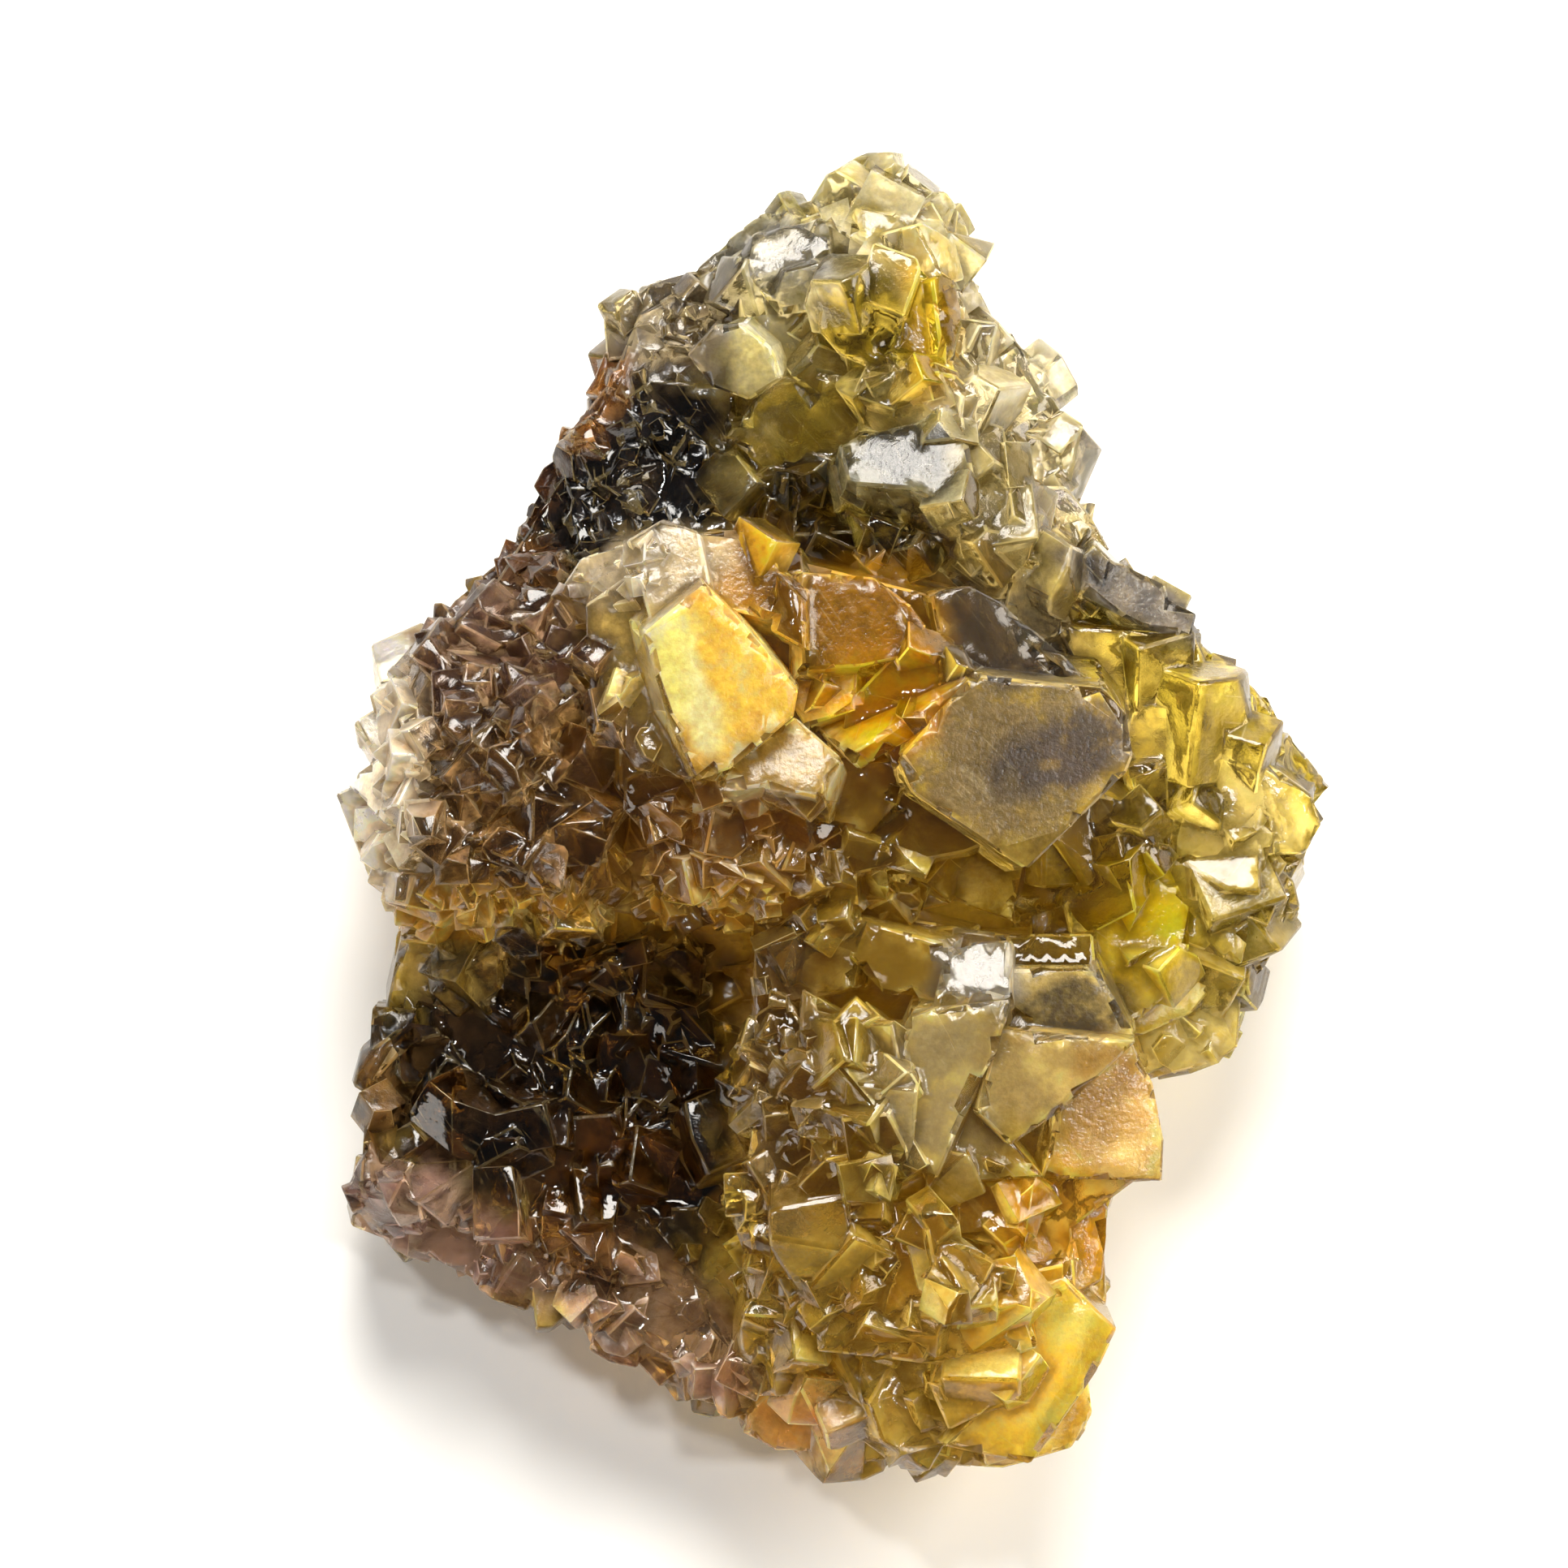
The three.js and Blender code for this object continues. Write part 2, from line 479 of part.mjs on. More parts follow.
// The tall amber and grey crystals of the middle, which stand closest to the eye.
const summitCrystals = [
  {
    name: 'greatGreyFace',
    outline: [[3.9, 3.7], [8.4, 8.7], [16.3, 7.8], [17.6, 6.2], [18, 3.8], [17.6, 2.8], [11.6, -3.1],
      [4.8, 1.5]],
    top: ridge + 0.8, slope: [-0.12, 0.1], depth: 12,
  },
  {
    name: 'greyBehind',
    outline: [[5.8, 13.8], [8.2, 14.1], [10.1, 13.1], [13.7, 10.1], [16.2, 7.6], [8.2, 8.2],
      [6.4, 10.6]],
    top: ridge - 1.8, slope: [-0.22, -0.12], depth: 11,
  },
  {
    name: 'amberRound',
    outline: [[-2.1, 14.9], [2.4, 14.6], [4.6, 12.9], [5.5, 11.7], [5.1, 10], [1.6, 9.2], [-1.9, 9]],
    top: ridge + 0.6, slope: [-0.12, -0.15], depth: 10,
  },
  {
    name: 'amberTrough',
    outline: [[3.6, 9.9], [6.2, 10.1], [8.3, 8.8], [8.5, 7.7], [6.4, 6], [1.5, 3.2], [0.2, 4],
      [0.8, 7]],
    top: ridge + 0.2, slope: [0.18, 0.1], depth: 9,
  },
  {
    name: 'troughLip',
    outline: [[8.5, 8.7], [8.6, 7.6], [6.5, 5.9], [1.5, 2.9], [0.8, 3.8], [6.2, 7.2]],
    top: ridge + 1.2, slope: [-0.35, 0.5], depth: 6,
  },
  {
    name: 'amberTop',
    outline: [[-8.3, 17.3], [-4.1, 17.6], [-3.4, 15.2], [-3.3, 12], [-6.4, 12.6], [-8.2, 15.2]],
    top: ridge + 0.8, slope: [-0.08, -0.2], depth: 10,
  },
  {
    name: 'amberShard',
    outline: [[-3.5, 15], [-1.9, 13.8], [-1.8, 10.2], [-3.9, 11.4]],
    top: ridge + 1.6, slope: [0.3, -0.1], depth: 8,
  },
  {
    name: 'amberBowl',
    outline: [[-2.6, 9.8], [1.4, 9.4], [1.2, 6.6], [-1.8, 5.6], [-3, 7.6]],
    top: ridge - 0.8, slope: [0.2, -0.15], depth: 7,
  },
  {
    name: 'sunBlade',
    outline: [[-11.4, 11.2], [-7.8, 14.1], [-5.5, 11.7], [-2.2, 7.7], [-2.5, 6.1], [-6.3, 3],
      [-8.3, 2.3], [-10.1, 6.4]],
    top: summit, slope: [-0.12, 0.1], depth: 13,
  },
  {
    name: 'leftTwin',
    outline: [[-15.1, 12.9], [-11.5, 15.4], [-10.8, 10.9], [-9.7, 6.4], [-7.8, 2.2], [-12.1, 3],
      [-14.8, 6.7]],
    top: ridge + 0.5, slope: [0.35, 0.03], depth: 10,
  },
  {
    name: 'clearCapWest',
    outline: [[-16.9, 13.5], [-15.4, 15.8], [-12.4, 16.8], [-11.6, 15], [-14, 12.8]],
    top: ridge - 2, slope: [0.35, -0.25], depth: 8,
  },
  {
    name: 'clearCap',
    outline: [[-12.5, 16.8], [-10.3, 18.1], [-8.2, 17.3], [-7.5, 14.2], [-10.9, 11], [-11.9, 15]],
    top: ridge + 2.4, slope: [0.05, -0.22], depth: 9,
  },
  {
    name: 'flashCrystal',
    outline: [[-7.4, 1.7], [-6.1, 3.3], [-2.4, 6.2], [0.4, 3.7], [-0.8, 1.2], [-4.2, 2]],
    top: ridge + 1.8, slope: [0.02, -0.35], depth: 10,
  },
  {
    name: 'underFlash',
    outline: [[-4.5, 2.3], [-3.9, 3], [-0.3, 2.9], [0, 1.2], [-1.6, -0.2], [-4.5, 1.2]],
    top: ridge + 0.6, slope: [-0.15, 0.4], depth: 7,
  },
  {
    name: 'smokyKnob',
    outline: [[-12.7, 2.3], [-11.3, 2.9], [-9.2, 2.4], [-8, 0.8], [-8.9, -0.6], [-11.8, -0.6],
      [-12.8, 0.5]],
    top: ridge - 2, slope: [0.15, 0.3], depth: 8,
  },
  {
    name: 'smokyArch',
    outline: [[-8.1, 0.9], [-6.5, 1.5], [-5.1, 1.3], [-4.4, 0.2], [-4.3, -4.3], [-7.2, -3.8],
      [-8.2, -2.2]],
    top: ridge - 1.4, slope: [0.02, 0.25], depth: 9,
  },
  {
    name: 'smokyWest',
    outline: [[-11.2, -0.6], [-8.9, -0.3], [-7.7, -2.2], [-7, -3.8], [-9, -4.5], [-10.9, -4.4]],
    top: ridge - 3, slope: [0.25, 0.25], depth: 9,
  },
  {
    name: 'smokyEast',
    outline: [[-4.5, -0.3], [-1.6, 0.2], [0.2, 0.4], [-0.4, -1.4], [-1.9, -3.4], [-3.4, -4.4],
      [-4.5, -4.4]],
    top: ridge - 2.2, slope: [-0.2, 0.25], depth: 9,
  },
  {
    name: 'goldFringe',
    outline: [[-10.9, -4.2], [-7.2, -3.6], [-3.3, -3.8], [-3.8, -5.4], [-4.2, -6.6], [-5.8, -5.8],
      [-7, -5.1], [-9.6, -5.2]],
    top: ridge - 4, slope: [0.02, 0.5], depth: 7,
  },
  {
    name: 'amberSlope',
    outline: [[0, 4.1], [1.8, 3.2], [4, 3.8], [3.8, 0.3], [1.7, -1.3], [-0.2, -0.3]],
    top: ridge - 1.6, slope: [-0.15, 0.3], depth: 8,
  },
  {
    name: 'darkGem',
    outline: [[-2.1, -3.1], [-0.4, -1.2], [0.5, -2], [0.7, -3.9], [-1.1, -4.7]],
    top: terrace + 0.4, slope: [0.05, -0.15], depth: 7,
  },
  {
    name: 'silverGem',
    outline: [[0.4, -2.1], [1.9, -0.4], [2.9, -0.7], [3.3, -4.2], [1.6, -2.9]],
    top: terrace + 0.6, slope: [-0.1, -0.4], depth: 7,
  },
  {
    name: 'darkRoof',
    outline: [[0.4, -2.4], [3.3, -4], [5.3, -5.7], [4.9, -6.4], [1.5, -6.4], [0.4, -3.9]],
    top: terrace - 1.2, slope: [0, 0.3], depth: 8,
  },
  {
    name: 'violetColumn',
    outline: [[-3.8, -4.9], [-2.6, -4.3], [-1.3, -4.9], [-1.7, -6.9], [-3.6, -7.4], [-4.3, -6.4]],
    top: terrace - 1.8, slope: [0.1, 0.2], depth: 8,
  },
];

// The high terrace on the south-east side of the hollow.
const terraceCrystals = [
  {
    name: 'whiteMirror',
    outline: [[6.8, -7.6], [10.8, -7.3], [10.7, -10.8], [6, -11.2]],
    top: terrace + 1.6, slope: [0.02, -0.4], depth: 8,
  },
  {
    name: 'mirrorWest',
    outline: [[1.5, -6.2], [6.9, -7.6], [6.1, -11.1], [3, -10.6], [0.9, -8.4]],
    top: terrace + 0.6, slope: [0.15, 0.1], depth: 8,
  },
  {
    name: 'greyRoof',
    outline: [[10.6, -9.2], [15.9, -9.1], [18.4, -13.4], [10, -12.9]],
    top: terrace - 0.4, slope: [-0.1, 0.18], depth: 10,
  },
  {
    name: 'roofStep',
    outline: [[10.6, -7], [15.7, -7], [15.9, -9.3], [10.6, -9.4]],
    top: terrace - 1.2, slope: [-0.02, -0.15], depth: 8,
  },
  {
    name: 'paleFace',
    outline: [[9.9, -12.8], [18.3, -13.5], [14.1, -17.5], [10.7, -19.8], [8.7, -17.8]],
    top: terrace + 1, slope: [-0.1, 0.12], depth: 10,
  },
  {
    name: 'peachFace',
    outline: [[18, -13.4], [19.4, -16.1], [20.1, -19.6], [20, -22.1], [12.6, -21.9], [13.8, -17.2]],
    top: terrace - 2.6, slope: [-0.22, 0.12], depth: 11,
  },
  {
    name: 'phantomFace',
    outline: [[4.8, -11.6], [10.6, -11], [9.8, -14.1], [8.5, -16.4], [6.2, -21.8], [3.9, -20.8],
      [3.2, -16.1]],
    top: terrace + 1.8, slope: [0.06, 0.08], depth: 11,
  },
  {
    name: 'phantomStep',
    outline: [[8.2, -16.3], [9, -18], [10.8, -19.6], [12.7, -21.8], [6, -22.3]],
    top: terrace - 0.8, slope: [-0.1, 0.15], depth: 8,
  },
  {
    name: 'brow',
    outline: [[-1.9, -10.4], [1.4, -12.4], [5, -12.7], [4.2, -17.8], [1.4, -20.3], [-1.1, -18.6],
      [-2.3, -15.9]],
    top: terrace + 1.1, slope: [0.05, -0.04], depth: 12,
  },
  {
    name: 'westKnob',
    outline: [[-4.8, -11.9], [-3, -10.7], [-1.7, -13], [-2.1, -15.9], [-3.6, -18.8], [-5, -19],
      [-6.3, -16.7]],
    top: terrace - 1, slope: [0.35, 0.05], depth: 13,
  },
  {
    name: 'bladeFlash',
    outline: [[1.5, -16.9], [3, -20.3], [2.5, -21.9], [1.6, -21.9], [1.2, -19.2]],
    top: terrace + 1.2, slope: [0.1, -0.4], depth: 5,
  },
  {
    name: 'blades',
    outline: [[-1.1, -18.4], [1.4, -20], [3.9, -20.4], [3.4, -23.2], [-0.6, -23.4]],
    top: terrace - 0.2, slope: [-0.2, 0.2], depth: 9,
  },
  {
    name: 'lowerWest',
    outline: [[-5, -19], [-1, -18.4], [-0.8, -21.9], [-1.2, -24.4], [-3, -25.4], [-5.1, -25.6],
      [-5.5, -22]],
    top: terrace - 1.3, slope: [0.22, 0.08], depth: 12,
  },
  {
    name: 'westFlake',
    outline: [[-2.9, -24.7], [-1.6, -24.9], [-0.6, -26.7], [-2.6, -26.4]],
    top: terrace - 0.6, slope: [0, -0.4], depth: 5,
  },
  {
    name: 'darkStep',
    outline: [[-1.2, -22.8], [3.2, -22.6], [6, -21.8], [10.6, -22], [12.2, -23.6], [10.4, -26],
      [6, -25], [-1, -26.2]],
    top: terrace - 2.2, slope: [0.02, -0.1], depth: 10,
  },
  {
    name: 'middleMass',
    outline: [[-0.9, -26.6], [1.3, -26], [4.1, -24.7], [6.9, -30.2], [5.4, -33.1], [2.1, -32.7],
      [-1, -32.4], [-1.2, -29.7]],
    top: terrace - 1.1, slope: [0.12, 0.1], depth: 11,
  },
  {
    name: 'pyramid',
    outline: [[6.3, -24.3], [10.3, -27.2], [10.1, -28.6], [6.6, -30.4], [5.6, -24.8]],
    top: terrace + 0.9, slope: [-0.25, -0.1], depth: 9,
  },
  {
    name: 'pyramidWest',
    outline: [[3.9, -24.6], [5.9, -24.4], [6.8, -30.4], [5, -28.6]],
    top: terrace + 0.5, slope: [0.45, -0.1], depth: 8,
  },
  {
    name: 'windowCube',
    outline: [[10, -28.5], [11.4, -29.2], [12.4, -32.2], [11.3, -32.6], [9, -30.1]],
    top: terrace - 1.4, slope: [-0.1, 0.2], depth: 5,
  },
  {
    name: 'underPyramid',
    outline: [[6.6, -30], [10.1, -28.5], [9, -30], [11.4, -32.4], [12, -34.4], [9.8, -33.4],
      [5.3, -33.2]],
    top: terrace - 2.4, slope: [-0.1, 0.25], depth: 9,
  },
  {
    name: 'westPocket',
    outline: [[-4.6, -25.8], [-0.7, -26.6], [-0.9, -30.7], [-1.7, -32.5], [-4, -31.2], [-5.4, -30],
      [-5.6, -27.4]],
    top: shoulder + 0.2, slope: [0.1, 0.15], depth: 10,
  },
  {
    name: 'southWest',
    outline: [[-6.2, -32.6], [-5.5, -30.1], [-4, -30.8], [-2, -32.4], [0.2, -33.4], [2.4, -34.2],
      [1.4, -36.9], [-2.1, -35.4], [-5, -35.4]],
    top: crown + 0.8, slope: [0.12, 0.3], depth: 9,
  },
  {
    name: 'greyWindow',
    outline: [[6.4, -32.8], [9.8, -33], [11, -34.4], [9, -36.3], [7, -37.3], [5.8, -34.5]],
    top: shoulder + 0.8, slope: [-0.02, 0.15], depth: 9,
  },
  {
    name: 'southOlive',
    outline: [[1.2, -32.2], [5.5, -32.7], [7.2, -37.2], [6.9, -38.4], [4, -39.1], [2.2, -37.7]],
    top: crown + 1.4, slope: [-0.02, 0.3], depth: 9,
  },
  {
    name: 'amberCorner',
    outline: [[11.8, -29.6], [14.4, -28.4], [17.3, -31.2], [16.1, -33.8], [12.1, -39.5], [6.8, -38.3],
      [10.8, -34.3], [12.3, -32.2]],
    top: shoulder - 0.6, slope: [-0.22, 0.2], depth: 11,
  },
  {
    name: 'greyEdge',
    outline: [[15.4, -26], [16.6, -26], [16.9, -29.6], [16, -31]],
    top: skirt + 1, slope: [-0.4, 0], depth: 6,
  },
  {
    name: 'amberRecess',
    outline: [[10.2, -22], [16.8, -22.4], [16.7, -25.4], [16.4, -28.2], [14.6, -29.2], [10.4, -28.4]],
    top: shoulder - 1, slope: [-0.2, 0.05], depth: 9,
  },
  {
    name: 'paleRim',
    outline: [[11.8, -39.6], [15.6, -33.6], [16, -36.7], [14.7, -38.8]],
    top: skirt - 1, slope: [-0.35, 0.1], depth: 7,
  },
  {
    name: 'oliveToe',
    outline: [[2.4, -36.4], [7, -37.6], [12, -39.6], [10.4, -40], [3.6, -39.7], [1.4, -38]],
    top: skirt + 1, slope: [-0.05, 0.35], depth: 8,
  },
  {
    name: 'peachLump',
    outline: [[-5.2, -36.4], [-3.6, -35.1], [-1.9, -34.9], [-0.3, -36.2], [0.3, -37.9], [-1.3, -39],
      [-3.6, -38.9], [-5.4, -37.8]],
    top: skirt + 0.2, slope: [0.05, 0.2], depth: 7,
  },
  {
    name: 'peachToe',
    outline: [[-0.5, -37.6], [3.1, -38.9], [3.1, -40.3], [1.8, -40.9], [-0.7, -39.7]],
    top: skirt - 1.4, slope: [0, 0.25], depth: 6,
  },
  {
    name: 'cornerKnobs',
    outline: [[-4.9, -7.6], [-1.3, -4.8], [1.7, -6.3], [1.2, -10.2], [-3.3, -11.4], [-4.9, -9.7]],
    top: terrace - 0.6, slope: [0.2, 0.05], depth: 10,
  },
];

// The broken floor of the hollow and the thin violet ledge that closes it to the south-west.
const hollowCrystals = [
  {
    name: 'scoopBlock',
    outline: [[-28.4, -11.6], [-25.2, -11.9], [-22.6, -15.4], [-21.4, -17.6], [-24.2, -21.4],
      [-29.2, -23.4]],
    top: hollow + 2.2, slope: [0.1, -0.05], depth: 6,
  },
  {
    name: 'westStep',
    outline: [[-26.6, -7.4], [-19, -8.6], [-18.6, -13.4], [-23.6, -13.8], [-27.6, -11.8]],
    top: hollow + 1.2, slope: [0.1, 0.25], depth: 6,
  },
  {
    name: 'cleavageBar',
    outline: [[-17, -9], [-11.2, -7.1], [-10.9, -8], [-16.8, -10]],
    top: hollow + 3, slope: [0.1, -0.3], depth: 5,
  },
  {
    name: 'cleavageBarLow',
    outline: [[-17.2, -10], [-11.6, -8.4], [-11.4, -9.5], [-17, -11.2]],
    top: hollow + 1.8, slope: [0.1, -0.2], depth: 5,
  },
  {
    name: 'greyLens',
    outline: [[-12.6, -8.9], [-8.9, -7.7], [-7.8, -9.1], [-8, -11.1], [-9.7, -12.9], [-12.6, -13.3]],
    top: hollow + 1.6, slope: [-0.15, 0.25], depth: 5,
  },
  {
    name: 'silverSliver',
    outline: [[-19.9, -18.3], [-19.1, -19.7], [-19.4, -21.3], [-20.5, -23.8], [-21.1, -24],
      [-20.6, -20.4]],
    top: hollow + 3, slope: [-0.15, -0.35], depth: 6,
  },
  {
    name: 'grainBlock',
    outline: [[-18, -12.6], [-12.8, -13], [-12.4, -18.4], [-17, -18.6]],
    top: hollow + 0.4, slope: [-0.25, 0.15], depth: 5,
  },
  {
    name: 'brokenWest',
    outline: [[-22.2, -16.6], [-18.6, -15], [-17, -19], [-21.4, -22.6], [-23.4, -20.4]],
    top: hollow + 0.8, slope: [0.3, 0.05], depth: 5,
  },
  {
    name: 'grainBlockEast',
    outline: [[-12.2, -13.4], [-8, -12.4], [-7.2, -17.6], [-11.6, -18]],
    top: hollow - 0.2, slope: [0.2, 0.2], depth: 4,
  },
  {
    name: 'brokenMiddle',
    outline: [[-19, -18.6], [-13.4, -18.2], [-12.6, -23], [-17.8, -24.4]],
    top: hollow + 1, slope: [0.2, 0.2], depth: 5,
  },
  {
    name: 'brokenEast',
    outline: [[-12.4, -18.6], [-6.6, -18], [-6, -24.4], [-12, -24.2]],
    top: hollow + 0.2, slope: [-0.2, -0.2], depth: 5,
  },
  {
    name: 'paleSpeck',
    outline: [[-12.9, -20.3], [-11.7, -20.2], [-11, -21.4], [-11.4, -22.4], [-12.9, -21.6]],
    top: hollow + 2, slope: [0.1, -0.2], depth: 3,
  },
  {
    name: 'violetLedge',
    outline: [[-29.8, -25.2], [-29.3, -22.2], [-23.4, -21.8], [-19.8, -24.6], [-18.4, -29.4],
      [-19.4, -29.9], [-25.4, -26.9]],
    top: hollow - 1, slope: [0.05, 0.15], depth: 6,
  },
  {
    name: 'brownKnobs',
    outline: [[-20, -25], [-15.6, -24], [-13, -27.6], [-15.2, -31.4], [-19.4, -29.7]],
    top: hollow - 0.1, slope: [0.12, 0.12], depth: 6,
  },
  {
    name: 'brownWindowLow',
    outline: [[-16.6, -23.8], [-12.4, -23.6], [-11.2, -27.2], [-14.4, -28.2]],
    top: hollow + 0.8, slope: [-0.12, 0.2], depth: 5,
  },
  {
    name: 'pinkPlate',
    outline: [[-15.8, -28], [-9.8, -27], [-5, -33.4], [-4.6, -37.6], [-8.9, -35.7], [-14.4, -32.2]],
    top: hollow - 1.2, slope: [-0.05, 0.22], depth: 7,
  },
  {
    name: 'pinkStep',
    outline: [[-12.4, -26.6], [-8, -27.4], [-6.4, -32], [-10.8, -31.4]],
    top: hollow + 0.1, slope: [0.15, 0.15], depth: 6,
  },
  {
    name: 'clearWedge',
    outline: [[-12, -24], [-6, -24], [-4.8, -33], [-8.4, -28.4]],
    top: hollow + 1.2, slope: [-0.12, 0.15], depth: 6,
  },
];

const crystals = [
  ...crownCrystals,
  ...easternCrystals,
  ...summitCrystals,
  ...terraceCrystals,
  ...hollowCrystals,
];

function crystalOf(name) {
  return crystals.find((crystal) => crystal.name === name);
}

function isInside(x, y, outline) {
  return outline.reduce((inside, [ax, ay], i) => {
    const [bx, by] = outline[(i + 1) % outline.length];
    const crosses = ay > y !== by > y && x < ax + ((y - ay) * (bx - ax)) / (by - ay);
    return crosses ? !inside : inside;
  }, false);
}

// Height of the highest face over a spot, by the planes of the masses and crystals that cover it.
function heightAt(x, y) {
  const covering = [...masses, ...crystals].filter(({ outline }) => isInside(x, y, outline));
  const heights = covering.map(({ outline, top, slope }) => {
    const [middleX, middleY] = middleOf(outline);
    return top + slope[0] * (x - middleX) + slope[1] * (y - middleY);
  });
  return Math.max(0, ...heights);
}

// Small crystals that grow at any angle out of the faces within an outline, a little sunk in them.
const sprinkleLean = 0.9;
const sprinkleSink = 0.15;
function sprinkle({ outline, count, edge, seed }) {
  const random = dice(seed);
  const xs = outline.map(([x]) => x);
  const ys = outline.map(([, y]) => y);
  const [west, south] = [Math.min(...xs), Math.min(...ys)];
  const [wide, long] = [Math.max(...xs) - west, Math.max(...ys) - south];
  const made = [];
  while (made.length < count) {
    const [x, y] = [west + wide * random(), south + long * random()];
    const size = edge * between(cubeSizes, random);
    const turn = anyTurn(new THREE.Vector3(0, 0, 1), sprinkleLean, random);
    const chip = anyChip(random);
    if (isInside(x, y, outline)) {
      made.push(cube(new THREE.Vector3(x, y, heightAt(x, y) - sprinkleSink * size), size, turn, chip));
    }
  }
  return made;
}

// The western lobe, a barrel of small brown crystals, and its core.
const lobeCentre = [-19.8, 2.4, 12.5];
const lobeRadii = [7.6, 9.6, 10.5];
const lobeFoot = 6;
const lobeEast = -11.5;
const lobeCore = toSolid(new THREE.SphereGeometry(1, 10, 7).scale(...lobeRadii).translate(...lobeCentre));
const lobeDruse = druse({
  centre: lobeCentre, radii: lobeRadii, count: 43, edge: 4.4, seed: 11, lean: 0.75, sink: 0.2,
  keep: (spot) => spot.z > lobeFoot && spot.x < lobeEast,
});

// Crystals that stand out sideways all round the cluster, at height above its foot or up to spread
// above or below that. A turned cube's corners reach 0.72 of its edge from its middle towards the
// outline, and they stay inset from it.
const girdleLean = 0.8;
const cornerReach = 0.72;
const rimPath = new THREE.Path(rim.map(([x, y]) => new THREE.Vector2(x, y))).closePath();
function girdle({ count, height, spread, edge, inset, seed }) {
  const random = dice(seed);
  return Array.from({ length: count }, (_, i) => {
    const share = (i + between([0, 0.6], random)) / count;
    const point = rimPath.getPointAt(share);
    const along = rimPath.getTangentAt(share);
    const out = new THREE.Vector3(-along.y, along.x, 0);
    const size = edge * between(cubeSizes, random);
    const z = height + either(spread, random);
    const spot = new THREE.Vector3(point.x, point.y, z).addScaledVector(out, -cornerReach * size - inset);
    return cube(spot, size, anyTurn(out, girdleLean, random), anyChip(random));
  });
}

// Broken blocks of the back. Each leans its own way, and its lowest corner is up to rise above the foot.
function brokenBack({ count, inset, edges, rise, lean, seed }) {
  const random = dice(seed);
  return Array.from({ length: count }, (_, i) => {
    const share = (i + between([0, 0.4], random)) / count;
    const point = rimPath.getPointAt(share);
    const along = rimPath.getTangentAt(share);
    const [wide, long, deep] = edges.map((edge) => edge * between([0.85, 1.15], random));
    const tilt = [either(lean, random), either(lean, random), Math.atan2(along.y, along.x)];
    const geometry = new THREE.BoxGeometry(long, wide, deep);
    geometry.applyQuaternion(new THREE.Quaternion().setFromEuler(new THREE.Euler(...tilt)));
    geometry.computeBoundingBox();
    const z = rise * random() - geometry.boundingBox.min.z;
    geometry.translate(point.x + along.y * inset, point.y - along.x * inset, z);
    return toSolid(geometry);
  });
}

// The back narrows from the outline towards the foot.
const narrowing = mass({ outline: inward(0.975), top: 12, slope: [0, 0], base: -1, foot: 0.84 });
const back = wasm.Manifold.union([
  ...brokenBack({ count: 11, inset: 7.4, edges: [12, 14, 9], rise: 3, lean: 0.4, seed: 31 }),
  ...brokenBack({ count: 5, inset: 15, edges: [12, 14, 7], rise: 0.9, lean: 0.16, seed: 32 }),
]).intersect(narrowing);

// The shell-shaped scar of a blow in the western step of the hollow.
const scarRadii = [3.6, 5, 2.6];
const scar = toSolid(new THREE.SphereGeometry(1, 9, 6).rotateX(Math.PI / 2).scale(...scarRadii)
  .rotateZ(-0.5).translate(-25.2, -17.6, hollow + 2.6));

const solids = [
  ...masses.map(mass),
  ...crystals.map(block),
  lobeCore,
  ...lobeDruse,
  ...girdle({ count: 24, height: 9.5, spread: 3.5, edge: 4, inset: 0.4, seed: 5 }),
  back,
  ...sprinkle({ outline: crystalOf('ironWall').outline, count: 5, edge: 2.8, seed: 21 }),
  ...sprinkle({ outline: crystalOf('rustyStep').outline, count: 3, edge: 2.6, seed: 22 }),
  ...sprinkle({ outline: masses[masses.length - 1].outline, count: 4, edge: 3.6, seed: 23 }),
];

// Joined, the crystals may enclose a few closed gaps. Only the outer body is kept.
const bodies = wasm.Manifold.union(solids).subtract(scar).decompose();
const outerBody = bodies.reduce((largest, body) => (body.volume() > largest.volume() ? body : largest));

// Its origin is on the surface that it lies on, under the middle of its box.
const box = new THREE.Box3().setFromBufferAttribute(toGeometry(outerBody).getAttribute('position'));
const middle = box.getCenter(new THREE.Vector3());

const fluorite = new THREE.Mesh(
  toGeometry(outerBody.translate([-middle.x, -middle.y, -box.min.z])),
  new THREE.MeshStandardMaterial({ color: 0xb39a3c, roughness: 0.25, metalness: 0 }),
);
fluorite.name = 'fluorite_cluster';

const cluster = new THREE.Group();
cluster.add(fluorite);

export default cluster;
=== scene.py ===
import math
import random

import bmesh
import bpy
import numpy as np
from mathutils import Matrix, Quaternion, Vector, noise
from mathutils.bvhtree import BVHTree


